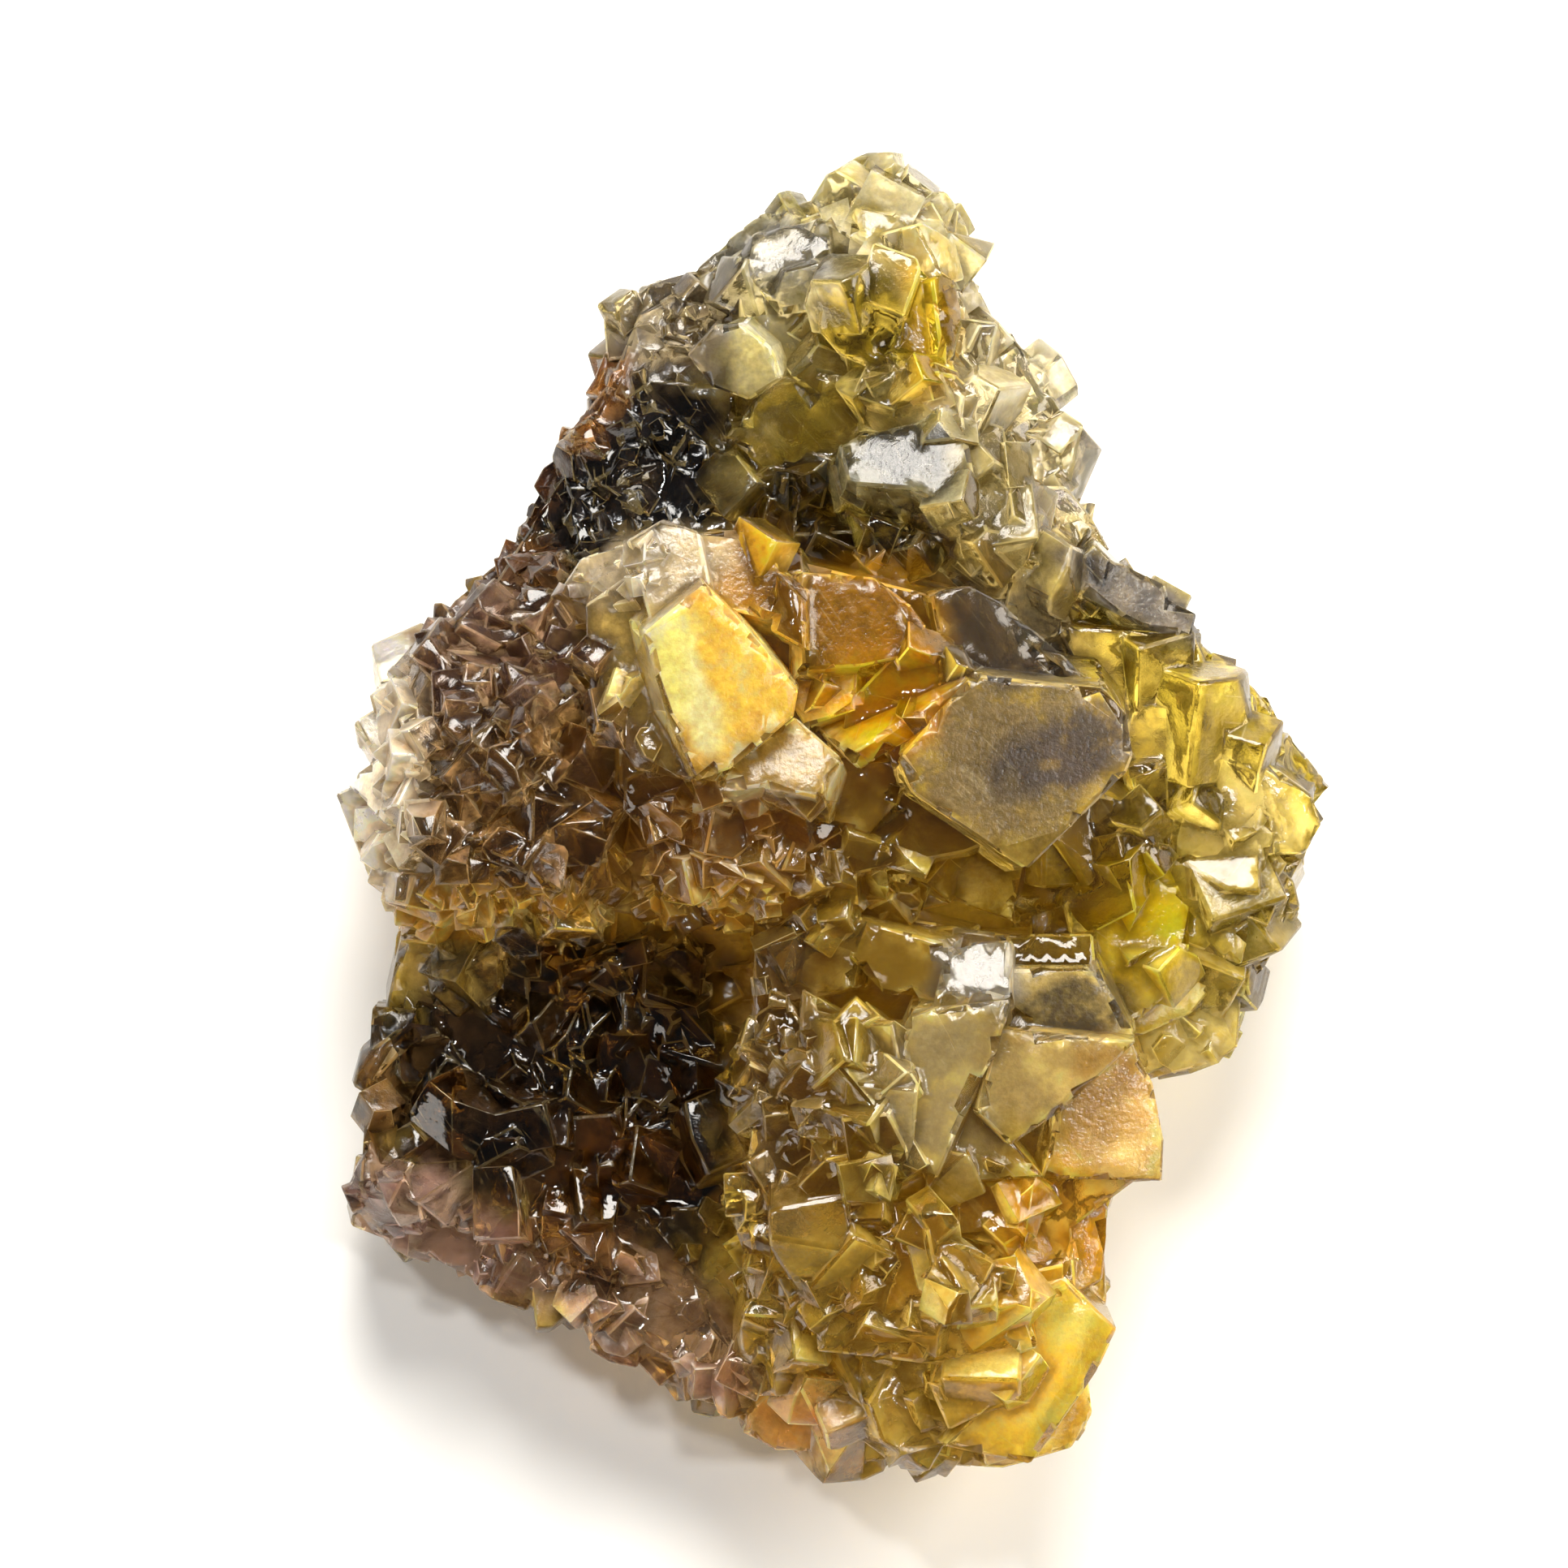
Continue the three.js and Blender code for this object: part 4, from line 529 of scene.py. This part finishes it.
# Colour of the crystals, in millimetres from above: middle, radii, turn, colour of the thin edges,
# colour of the thick middles, and how frosted the faces are. Each stain's hue is the stone's own; the thin
# edges' colour is paler as a painted glow of light shining through, the thick middles' darker as painted
# shade
stains = {
    "massive": ((0, 0), (60, 60), 0, "#D8B848", "#6E5614", 0.30),
    "crown": ((0, 30), (15, 15), 0, "#F6ECB8", "#9A9050", 0.15),
    "crownEast": ((10.6, 25.5), (4.4, 13), 0.35, "#FFF6DA", "#CABE92", 0.25),
    "tip": ((4.5, 37), (6, 4.4), 0, "#FBF0C4", "#C0B068", 0.30),
    "goldPlate": ((5.6, 30), (2, 4), 0, "#FFE030", "#F2BE10", 0.30),
    "oliveCube": ((1.8, 30), (3.2, 3.4), 0, "#C0A828", "#5C500C", 0.10),
    "lemonNub": ((-6, 28), (3.6, 3.4), 0, "#FFFCD8", "#FFF2A8", 0.56),
    "oliveBench": ((-2, 23.6), (6, 4), 0, "#D0B844", "#685C1C", 0.25),
    "valley": ((0, 18), (8, 3), -0.2, "#6A5E18", "#161304", 0.10),
    "iron": ((-13.2, 20.8), (6.6, 9.6), -0.4, "#120E14", "#020203", 0.20),
    "greyStep": ((-9.6, 30.6), (4.4, 3.4), 0.5, "#9A8E7C", "#453C32", 0.30),
    "rust": ((-18.6, 20), (1.2, 8), -0.52, "#5A3418", "#20100A", 0.45),
    "rustHigh": ((-15, 25.4), (1.7, 3.2), -0.5, "#8E5626", "#523014", 0.45),
    "rustLow": ((-19.4, 15.4), (2.6, 2.2), 0.3, "#7E4C22", "#3E240E", 0.45),
    # painted reflection: this shelf is painted silver grey as the reflection of the light in it
    "silverShelf": ((-3.2, 34.6), (3.8, 2.4), 0.1, "#C0BEB0", "#5C5A52", 0.45),
    "mirrorFace": ((4.2, 21.6), (4.6, 2.8), 0, "#74745E", "#2A2A24", 0.78),
    "mirrorFlank": ((9.8, 20.2), (2.6, 4.6), 0.2, "#C4BA88", "#7E7448", 0.35),
    "east": ((20, 2), (12, 15), 0.2, "#E8D048", "#7C6A18", 0.12),
    "greyBar": ((18.4, 13.6), (5.4, 1.6), -0.5, "#7E7466", "#403A34", 0.70),
    "prow": ((26, -2.5), (4, 6), 0.2, "#E4D07A", "#8E7A1C", 0.30),
    "lowCorner": ((22, -12.4), (4.4, 4.2), 0, "#E8D88A", "#BCA43A", 0.48),
    "goldWall": ((18.4, -7), (3.2, 4.4), 0, "#FFEC20", "#F0D008", 0.35),
    "oliveUnder": ((11.6, -2.6), (6.6, 2.8), -0.1, "#F4D424", "#A88C10", 0.24),
    "greatGreyFace": ((11, 3.6), (7.6, 6), 0, "#FFDC58", "#948050", 0.52),
    "greyCloud": ((13.4, 3.9), (4.8, 2.2), 0.4, "#D0B26C", "#5A524A", 0.58),
    "greyBehind": ((10.6, 11.4), (5, 3.2), -0.5, "#94845C", "#3E3930", 0.50),
    "amberRound": ((1.6, 12.2), (4.6, 3.6), 0, "#FFC83C", "#B48010", 0.42),
    "amberTrough": ((3, 7.4), (4, 3.4), 0, "#FFD828", "#E8A004", 0.36),
    "amberTop": ((-5.6, 14.8), (3.2, 3.2), 0, "#F2BE2E", "#825A02", 0.35),
    "sunBlade": ((-6.4, 8), (4, 6.4), 0.35, "#FFE8A0", "#F2BC48", 0.92),
    "bladeCream": ((-8.9, 8.4), (1.2, 5.6), 0.35, "#FFF6DC", "#FBE2A4", 0.85),
    "leftTwin": ((-12, 8.8), (3.4, 6.6), 0, "#FFF8CC", "#FFE080", 0.54),
    "clearCap": ((-11.4, 15), (4.6, 2.3), 0.2, "#FAEED6", "#D2C098", 0.45),
    "flashCrystal": ((-3.4, 3), (4, 2.8), 0, "#FFF6CC", "#C4A450", 0.50),
    "smoky": ((-6.6, -1.4), (6.4, 3.6), 0, "#FFE4B0", "#9A7034", 0.26),
    "goldFringe": ((-6.6, -5), (5, 1.6), 0.1, "#FFE48A", "#DCA438", 0.45),
    "terrace": ((6, -21), (15, 19), 0, "#EED870", "#AC9036", 0.20),
    "lobe": ((-19.8, 2.4), (8.6, 10), 0, "#BC9264", "#463018", 0.20),
    "lobeTop": ((-21, 10.4), (6.4, 4), 0, "#AC8A76", "#4C3430", 0.30),
    "lobeRim": ((-28, 2), (2.8, 9), 0, "#FFF8E8", "#E6D0AE", 0.50),
    "lobeFringe": ((-20.6, -6.2), (7, 2.2), 0, "#FFE47C", "#D69C2C", 0.45),
    # painted shade: the hollow and its east and north parts are painted near black, darker than their own
    # dark brown stone, as the shadow in the recess under the overhanging lobe
    "hollow": ((-17.4, -16.2), (12, 9.6), 0, "#2A1A0C", "#020101", 0.08),
    "hollowEastShade": ((-10, -17.6), (4.4, 10.6), 0, "#20120A", "#020101", 0.08),
    "hollowNorthShade": ((-14, -9.4), (9, 2.6), 0, "#38240F", "#060301", 0.10),
    "hollowRim": ((-28.8, -14), (1.1, 8), 0.1, "#8E6A3A", "#33230F", 0.50),
    "hollowOlive": ((-23.4, -9), (3.4, 1.8), 0, "#AC8E40", "#50421A", 0.35),
    "hollowBrown": ((-13.6, -21.4), (4, 2.8), 0.2, "#5C3814", "#170B03", 0.20),
    "violetLedge": ((-24, -25.6), (7.4, 3), -0.5, "#D2AAA0", "#74544C", 0.22),
    "pinkPlate": ((-11, -31.6), (7.4, 3.6), -0.65, "#DCB8A0", "#86644F", 0.26),
    "brownKnobs": ((-15.6, -26.6), (4, 2.4), -0.4, "#B8845A", "#442812", 0.20),
    "terraceWest": ((-3.4, -16), (2.6, 10), 0, "#E4C88C", "#85703E", 0.20),
    "phantom": ((6.4, -16), (3.8, 5.6), 0, "#FFE890", "#AC9E70", 0.40),
    "paleFace": ((13.4, -15.4), (5, 3.2), 0, "#FCE48C", "#B09A60", 0.42),
    "greyRoof": ((14, -11), (4.6, 2.2), 0, "#BCA868", "#504834", 0.60),
    # painted reflection: this face is painted near white as the reflection of the light in it
    "whiteMirror": ((8.6, -9.3), (2.6, 2.1), 0, "#F4F2E6", "#B8B6A8", 0.30),
    "peachFace": ((17.2, -18.6), (3.4, 4.6), 0, "#F2D288", "#B08C48", 0.40),
    "amberRecess": ((13.4, -25), (4, 4), 0, "#FFD850", "#DCA018", 0.30),
    "amberCorner": ((13, -34), (5, 6), 0, "#FFE478", "#F4C23A", 0.38),
    "peachLump": ((-2.4, -37.4), (3.6, 2.6), 0, "#F8D498", "#D09C50", 0.50),
}
paintSettings = {
    "waves": ((0.35, 1.0), (0.8, 0.6)),    # bends of the stains' borders: how many to a mm, and how strong
    "wander": 0.3,         # how far the bends move a border, as a share of the stain's radius
    "fade": (1.2, 0.4),    # where a stain ends and over how much it fades, as shares of its radius
    "facetShare": (0.8, 0.1),    # how much of a point's colour comes from its whole facet, small and big
    "bigFacet": 8,         # square millimetres of a big facet
    "undersideTop": 6,     # mm above the floor up to which the broken back shows
    "undersideFade": 3,    # mm over which it fades out
    "undersideShare": 0.8,
    "underside": ("#EADCA8", "#B49A58", 0.12),
    "border": 0.17,        # radians between two facets at which their shared edge counts
    "narrow": 0.2,         # facets narrower than this in mm are worn edges
    "shallow": 0.35,       # facets whose middle is nearer to the edge than this in mm have one colour, with no painted glow at their edges
    "roomy": 1.6,          # and this much further in, the edges are as pale as they get, with the painted glow at its strongest
    "samePlane": (7, 1.6), # facets share their tone if their normals and offsets in mm round to one value
    "frostSpread": 0.2,
    "inset": 0.03 * mm,    # where the rays that measure the thickness start under the surface
    "seed": 8,
}


def stainColours(points, s):
    # Painted-glow edge colour, painted-shade middle colour and frost at points in millimetres
    wave = np.array([sum(height * noise.noise(Vector(p) * scale) for scale, height in s["waves"])
                     for p in points])
    reach, fade = s["fade"]
    paint = np.zeros((len(points), 7))
    for (x, y), (rx, ry), turn, glowEdgeHex, shadedHeartHex, frost in stains.values():
        dx, dy = points[:, 0] - x, points[:, 1] - y
        along, across = dx * math.cos(turn) + dy * math.sin(turn), dy * math.cos(turn) - dx * math.sin(turn)
        share = np.sqrt((along / rx) ** 2 + (across / ry) ** 2) + s["wander"] * wave
        weight = np.clip((reach - share) / fade, 0, 1)[:, None]
        paint += (np.array(linear(glowEdgeHex)[:3] + linear(shadedHeartHex)[:3] + [frost]) - paint) * weight
    glowEdgeHex, shadedHeartHex, frost = s["underside"]
    low = np.clip((s["undersideTop"] - points[:, 2]) / s["undersideFade"], 0, 1)[:, None]
    low *= s["undersideShare"]
    paint += (np.array(linear(glowEdgeHex)[:3] + linear(shadedHeartHex)[:3] + [frost]) - paint) * low
    return paint


def borderDistances(mesh, spots, facets, s):
    # How far each point of a facet is from the facet's outer edges and from its creases, in millimetres,
    # and the width and area of each facet
    edgeOf = np.zeros(len(mesh.loops), int)
    mesh.loops.foreach_get("edge_index", edgeOf)
    cornerOf = np.zeros(len(mesh.loops), int)
    mesh.loops.foreach_get("vertex_index", cornerOf)
    ends = np.zeros(len(mesh.edges) * 2, int)
    mesh.edges.foreach_get("vertices", ends)
    ends = ends.reshape(-1, 2)
    normals = np.zeros(len(mesh.polygons) * 3)
    mesh.polygons.foreach_get("normal", normals)
    normals = normals.reshape(-1, 3)
    middles = np.zeros(len(mesh.polygons) * 3)
    mesh.polygons.foreach_get("center", middles)
    middles = middles.reshape(-1, 3) / mm
    areas = np.zeros(len(mesh.polygons))
    mesh.polygons.foreach_get("area", areas)
    order = np.argsort(edgeOf, kind="stable")
    same = np.flatnonzero(edgeOf[order[:-1]] == edgeOf[order[1:]])
    first, second = order[same] // 3, order[same + 1] // 3
    apart = np.flatnonzero(facets[first] != facets[second])
    edges = edgeOf[order[same[apart]]]
    first, second = first[apart], second[apart]
    angle = np.arccos(np.clip((normals[first] * normals[second]).sum(1), -1, 1))
    outward = (normals[first] * (middles[second] - middles[first])).sum(1) < 0
    lengths = np.linalg.norm(spots[ends[edges, 0]] - spots[ends[edges, 1]], axis=1)
    number = facets.max() + 1
    rim = np.bincount(facets[first], lengths, number) + np.bincount(facets[second], lengths, number)
    area = np.bincount(facets, areas, number) / mm ** 2
    width = 2 * area / np.maximum(rim, 1e-6)
    cornerKeys = np.repeat(facets, 3) * len(spots) + cornerOf
    keys = np.unique(cornerKeys)
    starts = np.searchsorted(keys, np.arange(number + 1) * len(spots))
    far = np.full((3, len(keys)), 20.0)      # to an outer edge, to a crease, and inwards as a share
    borders = [[[], []] for i in range(number)]
    for i in np.flatnonzero(angle > s["border"]):
        kind = 0 if outward[i] else 1
        borders[facets[first[i]]][kind].append(edges[i])
        borders[facets[second[i]]][kind].append(edges[i])
    for facet in range(number):
        part = slice(starts[facet], starts[facet + 1])
        points = spots[keys[part] - facet * len(spots)]
        for kind in (0, 1):
            if not borders[facet][kind]:
                continue
            tail = spots[ends[borders[facet][kind], 0]][None]
            along = spots[ends[borders[facet][kind], 1]][None] - tail
            reach = points[:, None] - tail
            share = np.clip((reach * along).sum(2) / np.maximum((along ** 2).sum(2), 1e-9), 0, 1)
            far[kind, part] = np.linalg.norm(reach - along * share[:, :, None], axis=2).min(1)
        if len(points):
            deepest = far[0, part].max()
            size = min(max((deepest - s["shallow"]) / s["roomy"], 0), 1)
            far[2, part] = 1 - size * (1 - far[0, part] / deepest) if size else 1
    return far[:, np.searchsorted(keys, cornerKeys)], width, area


def thickness(mesh, inset):
    # How much crystal lies under each point, in millimetres
    bm = bmesh.new()
    bm.from_mesh(mesh)
    tree = BVHTree.FromBMesh(bm)
    thick = np.zeros(len(mesh.vertices))
    for vert in bm.verts:
        hit = tree.ray_cast(vert.co - vert.normal * inset, -vert.normal)
        thick[vert.index] = hit[3] / mm if hit[0] is not None else 0
    bm.free()
    return thick


def paintCluster(obj, s):
    mesh = obj.data
    spots = np.zeros(len(mesh.vertices) * 3)
    mesh.vertices.foreach_get("co", spots)
    spots = spots.reshape(-1, 3) / mm
    facets = np.zeros(len(mesh.polygons), int)
    mesh.attributes["facet"].data.foreach_get("value", facets)
    corners = np.zeros(len(mesh.loops), int)
    mesh.loops.foreach_get("vertex_index", corners)
    middles = np.zeros(len(mesh.polygons) * 3)
    mesh.polygons.foreach_get("center", middles)
    middles = middles.reshape(-1, 3) / mm
    far, width, area = borderDistances(mesh, spots, facets, s)
    # one colour for each facet, mixed with the colour at the point
    number = facets.max() + 1
    sizes = np.maximum(np.bincount(facets, minlength=number), 1)[:, None]
    centre = np.stack([np.bincount(facets, middles[:, i], number) for i in range(3)], 1) / sizes
    whole = stainColours(centre, s)
    local = stainColours(spots, s)
    smallShare, bigShare = s["facetShare"]
    share = smallShare + (bigShare - smallShare) * np.clip(area / s["bigFacet"], 0, 1)
    share = share[np.repeat(facets, 3), None]
    mixed = whole[np.repeat(facets, 3)] * share + local[corners] * (1 - share)
    for name, first in (("glowEdgeColour", 0), ("shadedHeartColour", 3)):
        values = np.ones((len(corners), 4))
        values[:, :3] = mixed[:, first:first + 3]
        mesh.attributes.new(name, "FLOAT_COLOR", "CORNER").data.foreach_set("color", values.ravel())
    # facets near one plane share their tone
    normals = np.zeros(len(mesh.polygons) * 3)
    mesh.polygons.foreach_get("normal", normals)
    normals = normals.reshape(-1, 3)
    out = np.stack([np.bincount(facets, normals[:, i], number) for i in range(3)], 1) / sizes
    tilts, step = s["samePlane"]
    planes = np.round(np.column_stack([out * tilts, (out * centre).sum(1) / step])).astype(int)
    kinds = np.unique(planes, axis=0, return_inverse=True)[1].ravel()
    dice = np.random.default_rng(s["seed"])
    tone = dice.random(kinds.max() + 1)[kinds]
    grade = dice.normal(0, s["frostSpread"], kinds.max() + 1)[kinds]
    frost = np.clip(whole[:, 6] + grade, 0, 1)
    perFacet = {"tone": tone, "frost": frost, "worn": (width < s["narrow"]).astype(float)}
    for name, values in perFacet.items():
        mesh.attributes.new(name, "FLOAT", "FACE").data.foreach_set("value", values[facets])
    for name, values in (("edgeFar", far[0]), ("creaseFar", far[1]), ("inner", far[2])):
        mesh.attributes.new(name, "FLOAT", "CORNER").data.foreach_set("value", values)
    mesh.attributes.new("thick", "FLOAT", "POINT").data.foreach_set("value", thickness(mesh, s["inset"]))
    print("painted", len(stains), "stains over", number, "facets")


def keepStone(obj):
    # Joined crystals close off pockets inside the stone, and nicks cut crumbs loose from it. Both go,
    # after the painting, so that no facet changes its number or its tone.
    bm = bmesh.new()
    bm.from_mesh(obj.data)
    seen, shells = set(), []
    for start in bm.faces:
        if start in seen:
            continue
        shell, front = [], [start]
        seen.add(start)
        while front:
            face = front.pop()
            shell.append(face)
            for vert in face.verts:
                for other in vert.link_faces:
                    if other not in seen:
                        seen.add(other)
                        front.append(other)
        shells.append(shell)
    stone = max(shells, key=len)
    crumbs, pockets, loose = [], [], []
    for shell in shells:
        if shell is not stone:
            origin = shell[0].verts[0].co.copy()
            corners = [[vert.co - origin for vert in face.verts] for face in shell]
            volume = sum(a.dot(b.cross(c)) for a, b, c in corners) / 6 / mm ** 3
            (crumbs if volume > 0 else pockets).append(volume)
            loose += shell
    bmesh.ops.delete(bm, geom=loose, context="FACES")
    odd = sum(len(e.link_faces) != 2 for e in bm.edges)
    print("dropped", len(pockets), "pockets of", round(sum(pockets), 4), "mm3 and",
          len(crumbs), "crumbs of", round(sum(crumbs), 4), "mm3;",
          len(bm.faces), "triangles left,", odd, "odd edges")
    bm.to_mesh(obj.data)
    bm.free()


paintCluster(cluster, paintSettings)
keepStone(cluster)


stoneSettings = {
    "patches": 3.6,               # mm, where the middles' own colour shows
    "mottle": 0.9,                # mm
    "specks": 0.34,               # mm, the grain of the frosted faces
    "cleavage": ((0.62, 0.48, 0.62), 2.6, 0.012),    # normal of the sheets, mm apart, how thin
    "growthLine": 0.55,           # mm
    "creaseShade": (0.9, 0.6),    # painted shade: mm from a crease within which the stone is painted darker, and to what share
    "veil": ("#FFF1C0", 0.18),
    "worn": ("#FFF0B8", 0.1),
    "relief": (0.5, 0.13),        # strength and mm of the bumps
    "ior": 1.434,
    "glow": (0.8, (1.0, 0.9, 0.5), 1.6),    # share, colour and mm of the light scattered in the frost
    "absorption": ("#F4D66C", 18.0),
}


def fluorite(s):
    # Fluorite: satin growth faces beside glassy cleavages, thin gold edges brightened by a painted glow of
    # light shining through, smoky middles darkened by painted shade where the crystal is thick, and fine
    # veils.
    # Light passes through it and turns golden on the way.
    material = bpy.data.materials.new("fluorite")
    material.use_nodes = True
    tree = material.node_tree
    tree.nodes.clear()

    def math2(operation, a, b=0.0, c=0.0):
        return addNode(tree, "ShaderNodeMath", {"operation": operation}, {0: a, 1: b, 2: c}).outputs[0]

    def ramp(value, low, high, first=0.0, last=1.0):
        return addNode(tree, "ShaderNodeMapRange", {"interpolation_type": "SMOOTHSTEP"},
                       {"Value": value, "From Min": low, "From Max": high,
                        "To Min": first, "To Max": last}).outputs[0]

    def attribute(name, socket="Fac"):
        return addNode(tree, "ShaderNodeAttribute", {"attribute_name": name}).outputs[socket]

    def blend(share, a, b):
        return addNode(tree, "ShaderNodeMix", {"data_type": "RGBA"}, {0: share, 6: a, 7: b}).outputs[2]

    def cloud(size, detail, vector):
        return addNode(tree, "ShaderNodeTexNoise", links={
            "Vector": vector, "Scale": 1 / (size * mm), "Detail": detail, "Roughness": 0.62}).outputs["Fac"]

    place = addNode(tree, "ShaderNodeTexCoord").outputs["Object"]
    tone, frost, worn = attribute("tone"), attribute("frost"), attribute("worn")
    edgeFar, creaseFar, thick = attribute("edgeFar"), attribute("creaseFar"), attribute("thick")
    clouds, mottle = cloud(s["patches"], 5.0, place), cloud(s["mottle"], 3.0, place)
    # cleavage traces, straight and thin
    normal, spacing, thin = s["cleavage"]
    across = addNode(tree, "ShaderNodeVectorMath", {"operation": "DOT_PRODUCT"},
                     {0: place, 1: normal}).outputs["Value"]
    sheet = addNode(tree, "ShaderNodeTexNoise", {"noise_dimensions": "1D"},
                    {"W": across, "Scale": 1 / (spacing * mm), "Detail": 2.0}).outputs["Fac"]
    traces = ramp(math2("ABSOLUTE", math2("SUBTRACT", sheet, 0.5)), 0.0, thin, 1.0, 0.0)
    veil = math2("MULTIPLY", traces, ramp(clouds, 0.5, 0.62))
    # growth lines that follow the outer edges
    sway = math2("MULTIPLY", mottle, 5.0)
    waves = math2("SINE", math2("MULTIPLY_ADD", edgeFar, 2 * math.pi / s["growthLine"], sway))
    lines = math2("MULTIPLY", waves, ramp(clouds, 0.42, 0.62))
    # painted glow and shade: thin edges take the paler edge colour as light shining through, thick middles
    # and places far from the outer edges take the darker middle colour as shade, ragged by the clouds
    deep = math2("MULTIPLY_ADD", attribute("inner"), 0.42, math2("MULTIPLY", thick, 0.03))
    deep = math2("ADD", deep, math2("MULTIPLY_ADD", clouds, 2.8, -1.8))
    deep = math2("MULTIPLY_ADD", mottle, 0.7, deep)
    glowEdgeColour, shadedHeartColour = attribute("glowEdgeColour", "Color"), attribute("shadedHeartColour", "Color")
    colour = blend(ramp(deep, 0.0, 1.0), glowEdgeColour, shadedHeartColour)
    light = math2("MULTIPLY_ADD", mottle, 0.5, math2("MULTIPLY_ADD", tone, 0.9, 0.45))
    light = math2("MULTIPLY_ADD", worn, 0.9, light)
    specks = math2("SUBTRACT", cloud(s["specks"], 3.0, place), 0.5)
    light = math2("MULTIPLY_ADD", specks, math2("MULTIPLY", frost, 1.5), light)
    light = math2("MULTIPLY_ADD", lines, 0.06, light)
    # painted shade in the creases between crystals, darkest at the crease
    light = math2("MULTIPLY", light, ramp(creaseFar, 0.0, *s["creaseShade"], 1.0))
    colour = addNode(tree, "ShaderNodeVectorMath", {"operation": "SCALE"}, {0: colour, 3: light}).outputs[0]
    for mask, (hexColour, share) in ((veil, s["veil"]), (worn, s["worn"])):
        colour = blend(math2("MULTIPLY", mask, share), colour, linear(hexColour))
    rough = math2("MULTIPLY_ADD", frost, 0.3, math2("MULTIPLY", mottle, 0.12))
    clear = math2("MULTIPLY_ADD", math2("MULTIPLY", frost, ramp(mottle, 0.3, 0.7, 0.7, 1.0)), -0.6, 0.94)
    heights = math2("MULTIPLY_ADD", specks, math2("MULTIPLY", frost, 1.3), math2("MULTIPLY", mottle, 0.6))
    bump = addNode(tree, "ShaderNodeBump", links={
        "Height": heights, "Strength": s["relief"][0], "Distance": s["relief"][1] * mm}).outputs["Normal"]
    shader = addNode(tree, "ShaderNodeBsdfPrincipled", links={
        "Base Color": colour, "Roughness": rough, "Normal": bump,
        "IOR": s["ior"], "Transmission Weight": clear, "Subsurface Weight": s["glow"][0],
        "Subsurface Radius": s["glow"][1], "Subsurface Scale": s["glow"][2] * mm})
    soakHex, density = s["absorption"]
    soak = addNode(tree, "ShaderNodeVolumeAbsorption", links={"Color": linear(soakHex), "Density": density})
    addNode(tree, "ShaderNodeOutputMaterial",
            links={"Surface": shader.outputs[0], "Volume": soak.outputs[0]})
    return material


cluster.data.materials.clear()
cluster.data.materials.append(fluorite(stoneSettings))
print("material made")
